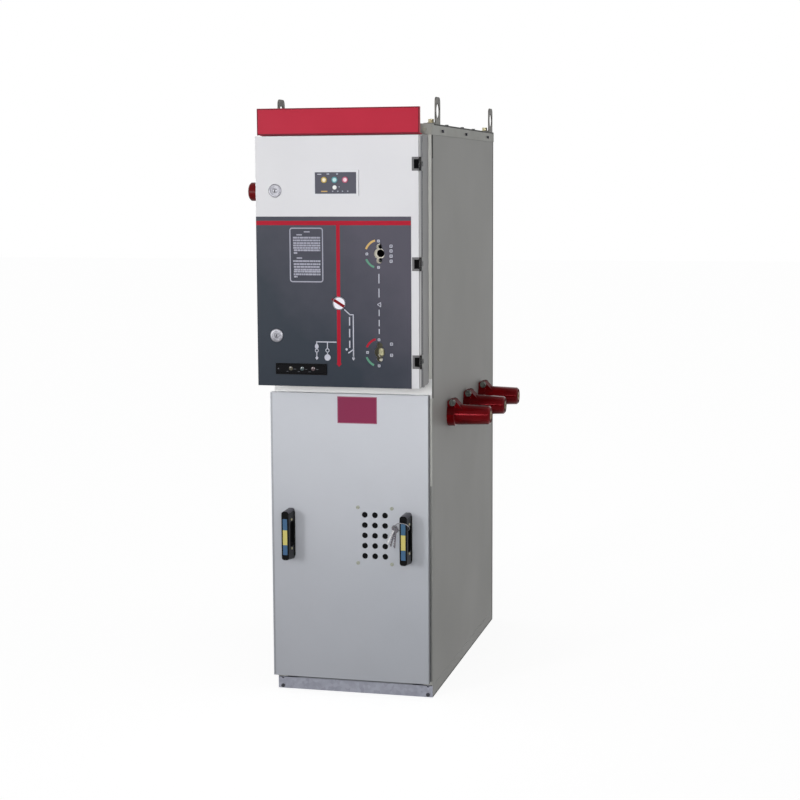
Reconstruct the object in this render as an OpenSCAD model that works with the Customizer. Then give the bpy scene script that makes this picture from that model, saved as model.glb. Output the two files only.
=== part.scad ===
// Gas insulated ring main unit: one free-standing load-break-switch cubicle.
// Millimetres. Origin at the centre of the cabinet's footprint on the floor.
// +X is the cabinet's right side seen from the front, -Y is its front, +Z is up.

/* [Cabinet] */
// Width of the cabinet over the roof skirt
cabinet_w = 500; // [450:10:800]
// Depth of the cabinet over the roof skirt, without the instrument box
cabinet_d = 1000; // [900:10:1200]
// Height from the floor to the top of the roof
cabinet_h = 1750; // [1700:10:2000]
// Thickness of the folded steel sheet
sheet = 2; // [1.5:0.5:3]
// Thickness of the roof lid and its skirt
lid_t = 1.5; // [1:0.5:2]
// Height of the skirt that the roof lid folds down
skirt_h = 33; // [25:1:60]
// Height of the plinth frame
plinth_h = 36; // [30:2:100]
// Distance from the cabinet's outside to the anchor holes, on every side
anchor_inset = 35; // [30:1:45]
// Diameter of the anchor holes
anchor_d = 14; // [11:1:18]

/* [Instrument box] */
// How far the instrument box and its door stand in front of the cabinet
box_projection = 136; // [110:2:200]
// Height of the instrument box
box_h = 743; // [700:1:900]
// How far the doors reach past the cabinet's left side
door_overhang = 5; // [0:1:8]
// How far the doors stop short of the cabinet's right side
door_setback = 9; // [6:1:20]
// Depth of the upper door, front sheet and folded edges
upper_door_t = 45; // [30:1:60]
// Gap between a closed door and the frame behind it
door_gap = 0.5; // [0.3:0.1:2]
// Height of the header plate above the box
header_h = 79; // [60:1:120]
// Height of the mimic panel, measured from the door's lower edge
mimic_h = 504; // [480:1:520]
// Thickness of the mimic panel
mimic_t = 1.5; // [1:0.5:3]

/* [Lower door] */
// Height of the strip between the two doors
door_break = 33; // [25:1:60]
// Gap between the plinth and the lower door
door_foot_gap = 12; // [5:1:30]
// Depth of the lower door, front sheet and folded edges
lower_door_t = 25; // [20:1:40]
// Diameter of each vent hole
vent_d = 18; // [10:1:22]
// Distance between vent holes
vent_pitch = 32; // [28:1:40]
// Height of each pull handle
handle_h = 160; // [150:2:180]
// How far each pull handle stands out from the door
handle_out = 64; // [50:2:80]
// Width of each pull handle
handle_w = 23; // [18:1:28]

/* [Bushings] */
// Length of each busbar bushing from the side panel
bushing_l = 135; // [110:5:180]
// Diameter of each bushing at its collar end
bushing_root_d = 66; // [60:2:76]
// Diameter of each bushing at its free end
bushing_tip_d = 58; // [50:2:66]
// Distance between neighbouring bushings
bushing_pitch = 255; // [210:5:270]
// Distance from the lower door's top edge down to the right-hand bushings
right_bushing_drop = 90; // [60:1:200]
// Distance from the roof down to the left-hand bushings
left_bushing_drop = 200; // [150:5:400]
// Diameter of the threaded hole in each bushing contact
contact_hole_d = 10.2; // [8.5:0.1:14]

/* [Lifting lugs] */
// Height of each lifting lug above the roof
lug_h = 81; // [75:1:110]
// Width of each lifting lug along the cabinet's depth
lug_w = 64; // [60:1:80]
// Diameter of the hole in each lifting lug
lug_hole_d = 44; // [30:1:46]
// Distance from the cabinet's front face to a front lug's centre
lug_inset_front = 97; // [60:1:150]
// Distance from the cabinet's rear face to a rear lug's centre
lug_inset_rear = 46; // [40:1:150]

/* [Hidden] */
$fn = 48;
eps = 1;                                   // overrun of a cutter past the face it opens
// cabinet faces
skirt_x = cabinet_w / 2;
skirt_y = cabinet_d / 2;
side_x = skirt_x - lid_t;                  // outer face of the side panels
front_y = -skirt_y + lid_t;                // outer face of the front flanges
rear_y = skirt_y - lid_t;
lid_under_z = cabinet_h - lid_t;
skirt_z = cabinet_h - skirt_h;
flange = 30;                               // folded edge of the side panels
// plinth
plinth_t = 3;
plinth_lip = 18;
plinth_foot = 52;
plinth_bolt_inset = 15;
plinth_bolt_z = 8;
plinth_bolt_r = 5.5;
plinth_bolt_t = 4;
notch_r = 5;                               // drain notch in the plinth's upper front edge
access = 65;                               // corner cut-outs of the floor plate, over the anchors
cable_w = 280;
cable_d = 180;
cable_y = 150;
// upper door and instrument box
door_left_x = -skirt_x - door_overhang;
door_right_x = skirt_x - door_setback;
upper_front_y = -skirt_y - box_projection;
box_front_y = upper_front_y + upper_door_t + door_gap;
box_top_z = skirt_z - 1;
box_bottom_z = box_top_z - box_h;
upper_bottom_z = box_bottom_z + 1;
upper_top_z = box_top_z - 3;
box_left_x = -side_x;
box_right_x = door_right_x + 2;
box_rim = 20;                              // proud front rim of the box
box_neck = 22;                             // set-in rear neck of the box
box_step = 1.5;
neck_step = 4;
box_flange = 18;
header_set_back = 20;
header_d = 36;
header_lip = 14;
header_trim = 2;                           // how much narrower the header is than the door, on the right
header_right_x = door_right_x - header_trim;
header_gap = 5;                            // clear space over the swinging door
header_z = upper_top_z + header_gap;       // lower edge of the header plate's front
mimic_margin = 23;
mimic_right_x = door_right_x - mimic_margin;
mimic_top_z = upper_bottom_z + mimic_h;
mimic_front_y = upper_front_y - mimic_t;
// lower door, cross member and compartments
lower_door_top_z = box_bottom_z - door_break;
lower_door_bottom_z = plinth_h + door_foot_gap;
lower_door_z = (lower_door_top_z + lower_door_bottom_z) / 2;
lower_front_y = front_y - door_gap - lower_door_t;
lower_right_x = door_right_x + 0.5;
cross_overlap = 12;                        // how far the cross member reaches down behind the lower door
cross_z = lower_door_top_z - cross_overlap;
cross_h = 60;
cross_d = 40;
shelf_z = cross_z + cross_h;
// operating slots, measured from the mimic panel's top and right edges
slot_inset = 96;
slot_r = 16;
slot_end_r = 9;
slot_reach = 20;                           // from a slot's middle to the centre of each rounded end
switch_drop = 108;
earthing_drop = 398;
slot_x = mimic_right_x - slot_inset;
switch_z = mimic_top_z - switch_drop;
earthing_z = mimic_top_z - earthing_drop;
socket_set_back = 18;
earthing_set_back = 20;
socket_y = upper_front_y + socket_set_back;
earthing_socket_y = upper_front_y + earthing_set_back;
socket_plate_w = 44;
socket_plate_h = 76;
socket_plate_t = 5;
socket_r = 19;
lever_hole_r = 11;
lever_hole_depth = 60;
pin_hole_r = 6.5;
pin_hole_offset = 20;
shaft_r = 11;
shaft_well = 4;
shaft_flat = 7.5;
shaft_lead = 4;
plate_y = front_y + sheet;                 // front face of the mechanism plate
// position indicator
indicator_inset = 219;
indicator_drop = 255;
indicator_x = mimic_right_x - indicator_inset;
indicator_z = mimic_top_z - indicator_drop;
indicator_r = 19;
indicator_gap = 1;
indicator_shaft_r = 3.95;
indicator_bore_r = 4;
indicator_tail = 8;
indicator_t = 1.1;
indicator_lift = 0.3;
// lamp unit
lamp_inset = 226;
lamp_rise = 98;
lamp_x = mimic_right_x - lamp_inset;
lamp_z = mimic_top_z + lamp_rise;
lamp_frame_w = 138;
lamp_frame_h = 76;
lamp_face_w = 126;
lamp_face_h = 63;
lamp_frame_t = 4;
lamp_face_recess = 1;
lamp_body_w = 120;
lamp_body_h = 58;
lamp_body_d = 30;
lamp_body_gap = 0.5;
lamp_r = 9;
lamp_t = 3;
lamp_pitch = 32;
lamp_shift = 3;
lamp_up = 9;
button_r = 6.3;
button_t = 2.5;
button_down = 13;
// display strip
strip_w = 158;
strip_h = 33;
strip_t = 5;
strip_inset = 136;
strip_rise = 52;
strip_x = door_left_x + strip_inset;
strip_z = upper_bottom_z + strip_rise;
strip_rim = 4;
strip_recess = 2;
// locks
lock_inset = 60;
lock_rise = 76;
lock_drop = 353;
lock_x = door_left_x + lock_inset;
lock_upper_z = mimic_top_z + lock_rise;
lock_lower_z = mimic_top_z - lock_drop;
lock_r = 20;
lock_core_r = 13.5;
lock_fit = 0.3;
lock_lip = 3;
lock_reach = 26;
// hinges
hinge_stand_off = 5.5;
hinge_pin_x = door_right_x + hinge_stand_off;
hinge_pin_y = upper_front_y - 1.5;
hinge_pin_r = 1.95;
hinge_bore_r = 2;
knuckle_r = 3.5;
hinge_h = 40;
hinge_leaf = 22;
hinge_t = 1.5;
hinge_foot = 18;
knuckle_gap = 0.4;
hinge_drop = 83;
hinge_middle = 373;
hinge_rise = 79;
hinge_z = [upper_top_z - hinge_drop, upper_top_z - hinge_middle, upper_bottom_z + hinge_rise];
// vents, symbol plate and handles
vent_inset = 167;
vent_rise = 11;                            // above the lower door's mid height
vent_x = lower_right_x - vent_inset;
vent_z = lower_door_z + vent_rise;
vent_cols = 3;
vent_rows = 5;
screen_w = 120;
screen_h = 190;
screen_t = 1.5;
vent_screw_x = 53.5;
vent_screw_z = 86.5;
symbol_inset = 276;
symbol_drop = 49;
symbol_x = door_left_x + symbol_inset;
symbol_z = lower_door_top_z - symbol_drop;
symbol_w = 124;
symbol_h = 82;
symbol_t = 1;
handle_rise = 8;
handle_z = lower_door_z + handle_rise;
handle_inset_left = 62;
handle_inset_right = 63;
handle_x = [door_left_x + handle_inset_left, lower_right_x - handle_inset_right];
handle_gap_h = 77;
handle_gap_rise = 4.5;                     // from the middle of a handle up to the middle of its opening
handle_gap_in = 8;
handle_bar = 17;
handle_taper = 8;
handle_brow = 1;                           // how far the grip's upper front edge lies below its base
handle_foot = 2;                           // how much wider the base of a handle is than its grip
handle_foot_t = 5;
handle_screw_z = [50, -40];
handle_screw_out = 34;
insert_w = 14;
insert_h = 112;
insert_t = 0.6;
ring_wire = 1.3;
ring_r = 22;
ring_up = 44;
ring_tilt = 45;
ring_reach = ring_r - 1.16 * ring_wire;    // from the ring's centre to an upright edge it leans on
ring_play = 0.02;
ring_shift = sqrt(ring_reach * ring_reach - handle_bar * handle_bar / 2) - handle_w / 2 - ring_play;
key_bow_r = 9;
key_blade_w = 7;
key_blade_l = 46;
key_t = 2;
key_lean = [26, 15, 5];                   // how each key hangs away from the vertical
key_eye = 3;                              // from the middle of a key's bow up to its hole
key_drop = 3.5;                            // from the wire down to each key's hole
// bushings
right_bushing_inset = 246;
left_bushing_inset = 200;
right_bushing_y = -skirt_y + right_bushing_inset;
left_bushing_y = -skirt_y + left_bushing_inset;
right_bushing_z = lower_door_top_z - right_bushing_drop;
left_bushing_z = cabinet_h - left_bushing_drop;
collar_step = 4;
collar_r = bushing_root_d / 2 + collar_step;
collar_t = 24;
collar_edge = 2;
ear_w = 48;
ear_rise = 12;                             // from the collar up to the top of the ear
ear_bevel = 6;
ear_flat = 20;
ear_reach = 50;
ear_sink = 14;                             // how deep the ear sits in the bushing
ear_bolt_x = 16;
ear_bolt_rise = 2.5;
spigot_step = 1;
spigot_r = bushing_root_d / 2 - spigot_step;
panel_hole_gap = 1;
panel_hole_r = spigot_r + panel_hole_gap;
spigot_l = 60;
tip_bevel = 5;
contact_r = 14;
contact_l = 50;
contact_fit = 0.1;
contact_hole_l = 35;
bolt_head_r = 10;
bolt_head_t = 8;
washer_r = 11;
washer_t = 2;
// lifting lugs
lug_t = 4;
lug_edge = 2;
lug_round = 15;
lug_x = skirt_x - lug_edge;                // outer face of the right-hand lugs
lug_foot = 40;
lug_foot_trim = 8;
lug_bolt_in = 22;
lug_bolt_r = 9;
lug_bolt_t = 10;
lug_washer_r = 12;
lug_washer_t = 2;
// screws
screw_r = 4;
screw_t = 2;
skirt_screw_r = 4.5;
skirt_screw_t = 6.5;
skirt_screw_drop = 3;                      // below the middle of the roof's skirt
front_screw_r = 6.5;
front_screw_t = 4.5;
vent_screw_r = 5.5;
vent_screw_t = 3;
roof_screw_r = 6;
roof_screw_t = 4;
roof_screw_inset = 12;
roof_screw_at = [-0.233, 0.007, 0.191];     // as a share of the cabinet's depth, from its middle
skirt_screw_at = [-0.356, 0.003, 0.377];
front_screw_inset = 22;
rear_screw_rows = 5;
rear_screw_end = 60;
rear_screw_pitch = (skirt_z - plinth_h - 2 * rear_screw_end) / (rear_screw_rows - 1);

colour_body = [0.62, 0.62, 0.61];
colour_door = [0.80, 0.81, 0.82];
colour_slate = [0.29, 0.30, 0.35];
colour_crimson = [0.70, 0.12, 0.24];
colour_epoxy = [0.42, 0.04, 0.05];
colour_zinc = [0.66, 0.66, 0.68];
colour_steel = [0.55, 0.55, 0.56];
colour_black = [0.06, 0.06, 0.07];
colour_brass = [0.72, 0.58, 0.28];
colour_ivory = [0.82, 0.79, 0.68];
colour_lens = [0.85, 0.82, 0.72];

// ---- helpers ----

// box from its lowest to its highest corner
module span(low, high) translate(low) cube(high - low);

// cylinder along +X from x0 to x1
module rod_x(x0, x1, r) translate([x0, 0, 0]) rotate([0, 90, 0]) cylinder(h = x1 - x0, r = r);

// cylinder along +Y from y0 to y1
module rod_y(y0, y1, r) translate([0, y0, 0]) rotate([-90, 0, 0]) cylinder(h = y1 - y0, r = r);

// hexagon bolt head on its washer, on the XY plane, standing up
module bolt_head(r, t, wr, wt) {
  cylinder(h = wt, r = wr);
  translate([0, 0, wt]) cylinder(h = t, r = r, $fn = 6);
}

// shallow round screw head standing up from the XY plane
module screw_head(r, t) {
  difference() {
    cylinder(h = t, r = r);
    translate([-r * 0.7, -r * 0.12, t * 0.5]) cube([r * 1.4, r * 0.24, t]);
  }
}

// folded tray: front sheet at y0 with edges folded back to y1
module tray(x0, x1, z0, z1, y0, y1) difference() {
  span([x0, y0, z0], [x1, y1, z1]);
  span([x0 + sheet, y0 + sheet, z0 + sheet], [x1 - sheet, y1 + eps, z1 - sheet]);
}

// ---- base ----

module plinth() color(colour_zinc) difference() {
  span([-side_x, front_y, 0], [side_x, rear_y, plinth_h]);
  span([-side_x + plinth_t, front_y + plinth_t, plinth_t],
       [side_x - plinth_t, rear_y - plinth_t, plinth_h - plinth_t]);
  span([-side_x + plinth_foot, front_y + plinth_foot, -eps],
       [side_x - plinth_foot, rear_y - plinth_foot, plinth_h]);
  span([-side_x + plinth_lip, front_y + plinth_lip, plinth_t],
       [side_x - plinth_lip, rear_y - plinth_lip, plinth_h + eps]);
  for (x = [-1, 1], y = [-1, 1])
    translate([x * (skirt_x - anchor_inset), y * (skirt_y - anchor_inset), -eps])
      cylinder(h = plinth_t + 2 * eps, r = anchor_d / 2);
  for (x = [-1, 1]) translate([x * (side_x - plinth_bolt_inset), 0, plinth_h])
    rod_y(front_y - eps, front_y + plinth_t + eps, notch_r);
}

module plinth_bolts() color(colour_steel)
  for (x = [-1, 1])
    translate([x * (side_x - plinth_bolt_inset), front_y, plinth_bolt_z]) rotate([90, 0, 0])
      screw_head(plinth_bolt_r, plinth_bolt_t);

module floor_plate() color(colour_zinc) difference() {
  span([-side_x + sheet, front_y + sheet, plinth_h],
       [side_x - sheet, rear_y - 2 * sheet, plinth_h + sheet]);
  for (x = [-1, 1], y = [-1, 1])
    translate([x * side_x, y * rear_y, plinth_h + sheet / 2])
      cube([2 * access, 2 * access, 3 * sheet], center = true);
  span([-cable_w / 2, cable_y - cable_d / 2, plinth_h - eps],
       [cable_w / 2, cable_y + cable_d / 2, plinth_h + sheet + eps]);
}

// ---- cabinet body ----

module side_shell() difference() {
  union() {
    span([side_x - sheet, front_y, plinth_h], [side_x, rear_y - sheet, lid_under_z]);
    for (y = [front_y, rear_y - 2 * sheet])
      span([side_x - flange, y, plinth_h + sheet], [side_x - sheet / 2, y + sheet, lid_under_z]);
  }
  span([side_x - flange - eps, front_y - eps, cross_z], [side_x + eps, front_y + sheet, cross_z + cross_h]);
}

module side_panel_right() color(colour_body) difference() {
  side_shell();
  for (i = [0:2]) translate([0, right_bushing_y + i * bushing_pitch, right_bushing_z])
    rod_x(side_x - sheet - eps, side_x + eps, panel_hole_r);
}

module side_panel_left() color(colour_body) difference() {
  mirror([1, 0, 0]) side_shell();
  for (i = [0:2]) translate([0, left_bushing_y + i * bushing_pitch, left_bushing_z])
    rod_x(-side_x - eps, -side_x + sheet + eps, panel_hole_r);
}

module rear_panel() color(colour_body)
  span([-side_x, rear_y - sheet, plinth_h], [side_x, rear_y, lid_under_z]);

module rear_panel_screws() color(colour_steel)
  for (x = [-1, 1], i = [0:rear_screw_rows - 1])
    translate([x * (side_x - flange / 2), rear_y,
               plinth_h + rear_screw_end + i * rear_screw_pitch])
      rotate([-90, 0, 0]) screw_head(screw_r, screw_t);

module cross_member() color(colour_door) {
  span([-side_x, front_y, cross_z], [side_x, front_y + sheet, cross_z + cross_h]);
  for (z = [cross_z, cross_z + cross_h - sheet])
    span([-side_x + sheet, front_y, z], [side_x - sheet, front_y + cross_d, z + sheet]);
}

module compartment_shelf() color(colour_zinc)
  span([-side_x + sheet, front_y + sheet, shelf_z], [side_x - sheet, rear_y - 2 * sheet, shelf_z + sheet]);

module mechanism_plate() color(colour_zinc)
  span([-side_x + sheet, plate_y, shelf_z + sheet], [side_x - sheet, plate_y + sheet, lid_under_z]);

module roof() color(colour_body) difference() {
  span([-skirt_x, -skirt_y, skirt_z], [skirt_x, skirt_y, cabinet_h]);
  span([-side_x, front_y, skirt_z - eps], [side_x, rear_y, lid_under_z]);
}

module roof_screws() color(colour_steel) {
  for (x = [-1, 1], k = roof_screw_at)
    translate([x * (skirt_x - roof_screw_inset), k * cabinet_d, cabinet_h])
      cylinder(h = roof_screw_t, r = roof_screw_r, $fn = 6);
  for (s = [-1, 1], k = skirt_screw_at)
    translate([s * skirt_x, k * cabinet_d, skirt_z + skirt_h / 2 - skirt_screw_drop])
      rotate([0, s * 90, 0]) screw_head(skirt_screw_r, skirt_screw_t);
  for (s = [-1, 1])
    translate([s * (skirt_x - front_screw_inset), -skirt_y, skirt_z + skirt_h / 2]) rotate([90, 0, 0])
      screw_head(front_screw_r, front_screw_t);
}

module lifting_lug() {
  difference() {
    union() {
      span([lug_x - lug_t, -lug_w / 2, cabinet_h], [lug_x, lug_w / 2, cabinet_h + lug_h - lug_round]);
      span([lug_x - lug_t, -lug_w / 2 + lug_round, cabinet_h], [lug_x, lug_w / 2 - lug_round, cabinet_h + lug_h]);
      for (s = [-1, 1]) translate([0, s * (lug_w / 2 - lug_round), cabinet_h + lug_h - lug_round])
        rod_x(lug_x - lug_t, lug_x, lug_round);
    }
    translate([0, 0, cabinet_h + lug_h / 2 - 1]) rod_x(lug_x - lug_t - eps, lug_x + eps, lug_hole_d / 2);
  }
  span([lug_x - lug_foot, -lug_w / 2 + lug_foot_trim, cabinet_h],
       [lug_x - lug_t / 2, lug_w / 2 - lug_foot_trim, cabinet_h + lug_t]);
}

module at_lugs() for (x = [0, 1], y = [-skirt_y + lug_inset_front, skirt_y - lug_inset_rear])
  mirror([x, 0, 0]) translate([0, y, 0]) children();

module lifting_lugs() color(colour_steel) at_lugs() lifting_lug();

module lug_bolts() color(colour_brass) at_lugs()
  translate([lug_x - lug_bolt_in, 0, cabinet_h + lug_t])
    bolt_head(lug_bolt_r, lug_bolt_t, lug_washer_r, lug_washer_t);

// ---- instrument box ----

module instrument_box() color(colour_body) difference() {
  union() {
    span([box_left_x, box_front_y, box_bottom_z], [box_right_x, box_front_y + box_rim, box_top_z]);
    span([box_left_x + box_step, box_front_y + box_rim / 2, box_bottom_z + box_step],
         [box_right_x - box_step, front_y - box_neck, box_top_z]);
    span([box_left_x + neck_step, front_y - box_neck - eps, box_bottom_z + neck_step],
         [box_right_x - neck_step, front_y, box_top_z]);
  }
  span([box_left_x + sheet, box_front_y + sheet, box_bottom_z + sheet],
       [box_right_x - sheet, box_front_y + box_rim - sheet, box_top_z - sheet]);
  span([box_left_x + box_step + sheet, box_front_y + sheet, box_bottom_z + box_step + sheet],
       [box_right_x - box_step - sheet, front_y - box_neck - sheet, box_top_z - sheet]);
  span([box_left_x + neck_step + sheet, box_front_y + sheet, box_bottom_z + neck_step + sheet],
       [box_right_x - neck_step - sheet, front_y + eps, box_top_z - sheet]);
  span([box_left_x + box_flange, box_front_y - eps, box_bottom_z + box_flange],
       [box_right_x - box_flange, box_front_y + sheet + eps, box_top_z - box_flange]);
}

module header_plate() color(colour_crimson) difference() {
  span([door_left_x, upper_front_y + header_set_back, box_top_z],
       [header_right_x, upper_front_y + header_set_back + header_d, box_top_z + header_h]);
  span([door_left_x + lid_t, upper_front_y + header_set_back + lid_t, header_z + lid_t],
       [header_right_x - lid_t, upper_front_y + header_set_back + header_d + eps, box_top_z + header_h - lid_t]);
  span([door_left_x - eps, upper_front_y + header_set_back + header_lip, header_z + lid_t],
       [header_right_x + eps, upper_front_y + header_set_back + header_d + eps, box_top_z + header_h + eps]);
  span([door_left_x - eps, upper_front_y + header_set_back - eps, box_top_z - eps],
       [header_right_x + eps, box_front_y + sheet, header_z]);
}

module at_slots() {
  translate([slot_x, 0, switch_z]) children(0);
  translate([slot_x, 0, earthing_z]) children(1);
}

module slot_cut() {
  rod_y(mimic_front_y - eps, upper_front_y + sheet + eps, slot_r);
  for (s = [-1, 1]) translate([0, 0, s * slot_reach])
    rod_y(mimic_front_y - eps, upper_front_y + sheet + eps, slot_end_r);
}

module upper_door() color(colour_door) difference() {
  tray(door_left_x, door_right_x, upper_bottom_z, upper_top_z, upper_front_y, upper_front_y + upper_door_t);
  at_slots() { slot_cut(); slot_cut(); }
  translate([indicator_x, 0, indicator_z])
    rod_y(upper_front_y - eps, upper_front_y + sheet + eps, indicator_bore_r);
  translate([lamp_x, 0, lamp_z])
    span([-lamp_body_w / 2, upper_front_y - eps, -lamp_body_h / 2],
         [lamp_body_w / 2, upper_front_y + sheet + eps, lamp_body_h / 2]);
  for (z = [lock_upper_z, lock_lower_z])
    translate([lock_x, 0, z]) rod_y(upper_front_y - eps, upper_front_y + sheet + eps, lock_core_r);
}

module mimic_panel() color(colour_slate) difference() {
  span([door_left_x, mimic_front_y, upper_bottom_z], [mimic_right_x, upper_front_y, mimic_top_z]);
  at_slots() { slot_cut(); slot_cut(); }
  translate([indicator_x, 0, indicator_z])
    rod_y(mimic_front_y - eps, upper_front_y + eps, indicator_r + indicator_gap);
  translate([lock_x, 0, lock_lower_z]) rod_y(mimic_front_y - eps, upper_front_y + eps, lock_core_r);
}

module lamp_unit() color(colour_door) translate([lamp_x, 0, lamp_z]) difference() {
  union() {
    span([-lamp_frame_w / 2, upper_front_y - lamp_frame_t, -lamp_frame_h / 2],
         [lamp_frame_w / 2, upper_front_y, lamp_frame_h / 2]);
    span([-lamp_body_w / 2 + lamp_body_gap, upper_front_y - eps, -lamp_body_h / 2 + lamp_body_gap],
         [lamp_body_w / 2 - lamp_body_gap, upper_front_y + lamp_body_d, lamp_body_h / 2 - lamp_body_gap]);
  }
  span([-lamp_face_w / 2, upper_front_y - lamp_frame_t - eps, -lamp_face_h / 2],
       [lamp_face_w / 2, upper_front_y - lamp_frame_t + lamp_face_recess, lamp_face_h / 2]);
}

module lamp(r, t) translate([0, upper_front_y - lamp_frame_t + lamp_face_recess, 0]) rod_y(-t, 0, r);

module signal_lamps() color(colour_lens) translate([lamp_x - lamp_shift, 0, lamp_z]) {
  for (i = [-1:1]) translate([i * lamp_pitch, 0, lamp_up]) lamp(lamp_r, lamp_t);
  translate([0, 0, -button_down]) lamp(button_r, button_t);
}

module display_strip() color(colour_black) translate([strip_x, 0, strip_z]) difference() {
  span([-strip_w / 2, mimic_front_y - strip_t, -strip_h / 2], [strip_w / 2, mimic_front_y, strip_h / 2]);
  span([-strip_w / 2 + strip_rim, mimic_front_y - strip_t - eps, -strip_h / 2 + strip_rim],
       [strip_w / 2 - strip_rim, mimic_front_y - strip_t + strip_recess, strip_h / 2 - strip_rim]);
}

module lock(face_y) {
  difference() {
    rod_y(face_y - lock_lip, face_y, lock_r);
    rod_y(face_y - lock_lip - eps, face_y - lock_lip + 1, lock_core_r);
  }
  rod_y(face_y - lock_lip, upper_front_y + lock_reach, lock_core_r - lock_fit);
}

module upper_door_locks() color(colour_steel) {
  translate([lock_x, 0, lock_upper_z]) lock(upper_front_y);
  translate([lock_x, 0, lock_lower_z]) lock(mimic_front_y);
}

module at_hinges() for (z = hinge_z) translate([0, 0, z]) children();

module hinge_fixed_leaves() color(colour_black) at_hinges() translate([hinge_pin_x, hinge_pin_y, 0]) {
  for (s = [-1, 1]) translate([0, 0, s * (hinge_h / 3 + knuckle_gap / 2) - hinge_h / 6])
    cylinder(h = hinge_h / 3 - knuckle_gap, r = knuckle_r);
  translate([0, 0, -hinge_h / 2]) cylinder(h = hinge_h, r = hinge_pin_r);
  // leaf that runs back beside the door's folded edge to the box's side
  for (s = [-1, 1]) translate([0, 0, s * (hinge_h / 3 + knuckle_gap / 2) - hinge_h / 6])
    span([box_right_x - hinge_pin_x, 0, 0],
         [box_right_x - hinge_pin_x + hinge_t, box_front_y - hinge_pin_y + eps, hinge_h / 3 - knuckle_gap]);
  span([box_right_x - hinge_pin_x, box_front_y - hinge_pin_y, -hinge_h / 2 + knuckle_gap],
       [box_right_x - hinge_pin_x + hinge_t, box_front_y - hinge_pin_y + hinge_foot, hinge_h / 2 - knuckle_gap]);
}

module hinge_door_leaves() color(colour_black) at_hinges() translate([hinge_pin_x, hinge_pin_y, 0])
  difference() {
    union() {
      translate([0, 0, -hinge_h / 6 + knuckle_gap / 2])
        cylinder(h = hinge_h / 3 - knuckle_gap, r = knuckle_r);
      span([-hinge_leaf - knuckle_r, 0, -hinge_h / 2],
           [-hinge_pin_x + door_right_x, upper_front_y - hinge_pin_y, hinge_h / 2]);
      span([-hinge_leaf, 0, -hinge_h / 6 + knuckle_gap / 2],
           [0, upper_front_y - hinge_pin_y, hinge_h / 6 - knuckle_gap / 2]);
    }
    translate([0, 0, -hinge_h]) cylinder(h = 2 * hinge_h, r = hinge_bore_r);
  }

module position_indicator() color(colour_lens) translate([indicator_x, 0, indicator_z]) {
  rod_y(upper_front_y - indicator_lift - indicator_t, upper_front_y - indicator_lift, indicator_r);
  rod_y(upper_front_y - indicator_lift - indicator_t / 2, upper_front_y + sheet + indicator_tail,
        indicator_shaft_r);
}

module socket_base(y0) {
  span([-socket_plate_w / 2, y0, -socket_plate_h / 2],
       [socket_plate_w / 2, y0 + socket_plate_t, socket_plate_h / 2]);
  rod_y(y0 + socket_plate_t / 2, plate_y, socket_r);
}

module switch_socket() color(colour_ivory) translate([slot_x, 0, switch_z]) difference() {
  socket_base(socket_y);
  rod_y(socket_y - eps, socket_y + lever_hole_depth, lever_hole_r);
  for (s = [-1, 1]) translate([0, 0, s * pin_hole_offset])
    rod_y(socket_y - eps, socket_y + socket_plate_t + eps, pin_hole_r);
}

module earthing_socket() color(colour_ivory) translate([slot_x, 0, earthing_z]) {
  difference() {
    socket_base(earthing_socket_y);
    rod_y(earthing_socket_y - eps, earthing_socket_y + socket_plate_t / 2, shaft_r + shaft_well);
  }
  intersection() {
    rod_y(earthing_socket_y - shaft_lead, earthing_socket_y + socket_plate_t, shaft_r);
    span([-shaft_flat, earthing_socket_y - 2 * socket_plate_t, -shaft_r],
         [shaft_flat, earthing_socket_y + 2 * socket_plate_t, shaft_r]);
  }
}

// ---- lower door ----

module lower_door() color(colour_door) difference() {
  tray(door_left_x, lower_right_x, lower_door_bottom_z, lower_door_top_z,
       lower_front_y, lower_front_y + lower_door_t);
  for (c = [0:vent_cols - 1], r = [0:vent_rows - 1])
    translate([vent_x + (c - (vent_cols - 1) / 2) * vent_pitch, 0,
               vent_z + (r - (vent_rows - 1) / 2) * vent_pitch])
      rod_y(lower_front_y - eps, lower_front_y + sheet + eps, vent_d / 2);
}

module symbol_plate() color(colour_crimson)
  span([symbol_x - symbol_w / 2, lower_front_y - symbol_t, symbol_z - symbol_h / 2],
       [symbol_x + symbol_w / 2, lower_front_y, symbol_z + symbol_h / 2]);

module vent_screen() color(colour_black)
  span([vent_x - screen_w / 2, lower_front_y + sheet, vent_z - screen_h / 2],
       [vent_x + screen_w / 2, lower_front_y + sheet + screen_t, vent_z + screen_h / 2]);

module vent_screws() color(colour_zinc)
  for (x = [-1, 1], z = [-1, 1])
    translate([vent_x + x * vent_screw_x, lower_front_y, vent_z + z * vent_screw_z]) rotate([90, 0, 0])
      screw_head(vent_screw_r, vent_screw_t);

// side profile of a pull handle: [distance from the door, height], seen along the width
module handle_profile() difference() {
  polygon([[0, -handle_h / 2], [-handle_gap_in, -handle_h / 2], [-handle_out, -handle_h / 2 + handle_taper],
           [-handle_out, handle_h / 2 - handle_brow], [-handle_gap_in, handle_h / 2], [0, handle_h / 2]]);
  translate([0, handle_gap_rise]) {
    translate([-handle_out + handle_bar, -handle_gap_h / 2 + handle_taper])
      square([handle_out - handle_bar - handle_gap_in, handle_gap_h - 2 * handle_taper]);
    translate([-handle_out + handle_bar + handle_taper, -handle_gap_h / 2])
      square([handle_out - handle_bar - handle_gap_in - 2 * handle_taper, handle_gap_h]);
    for (u = [-handle_out + handle_bar + handle_taper, -handle_gap_in - handle_taper], v = [-1, 1])
      translate([u, v * (handle_gap_h / 2 - handle_taper)]) circle(r = handle_taper);
  }
}

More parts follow.
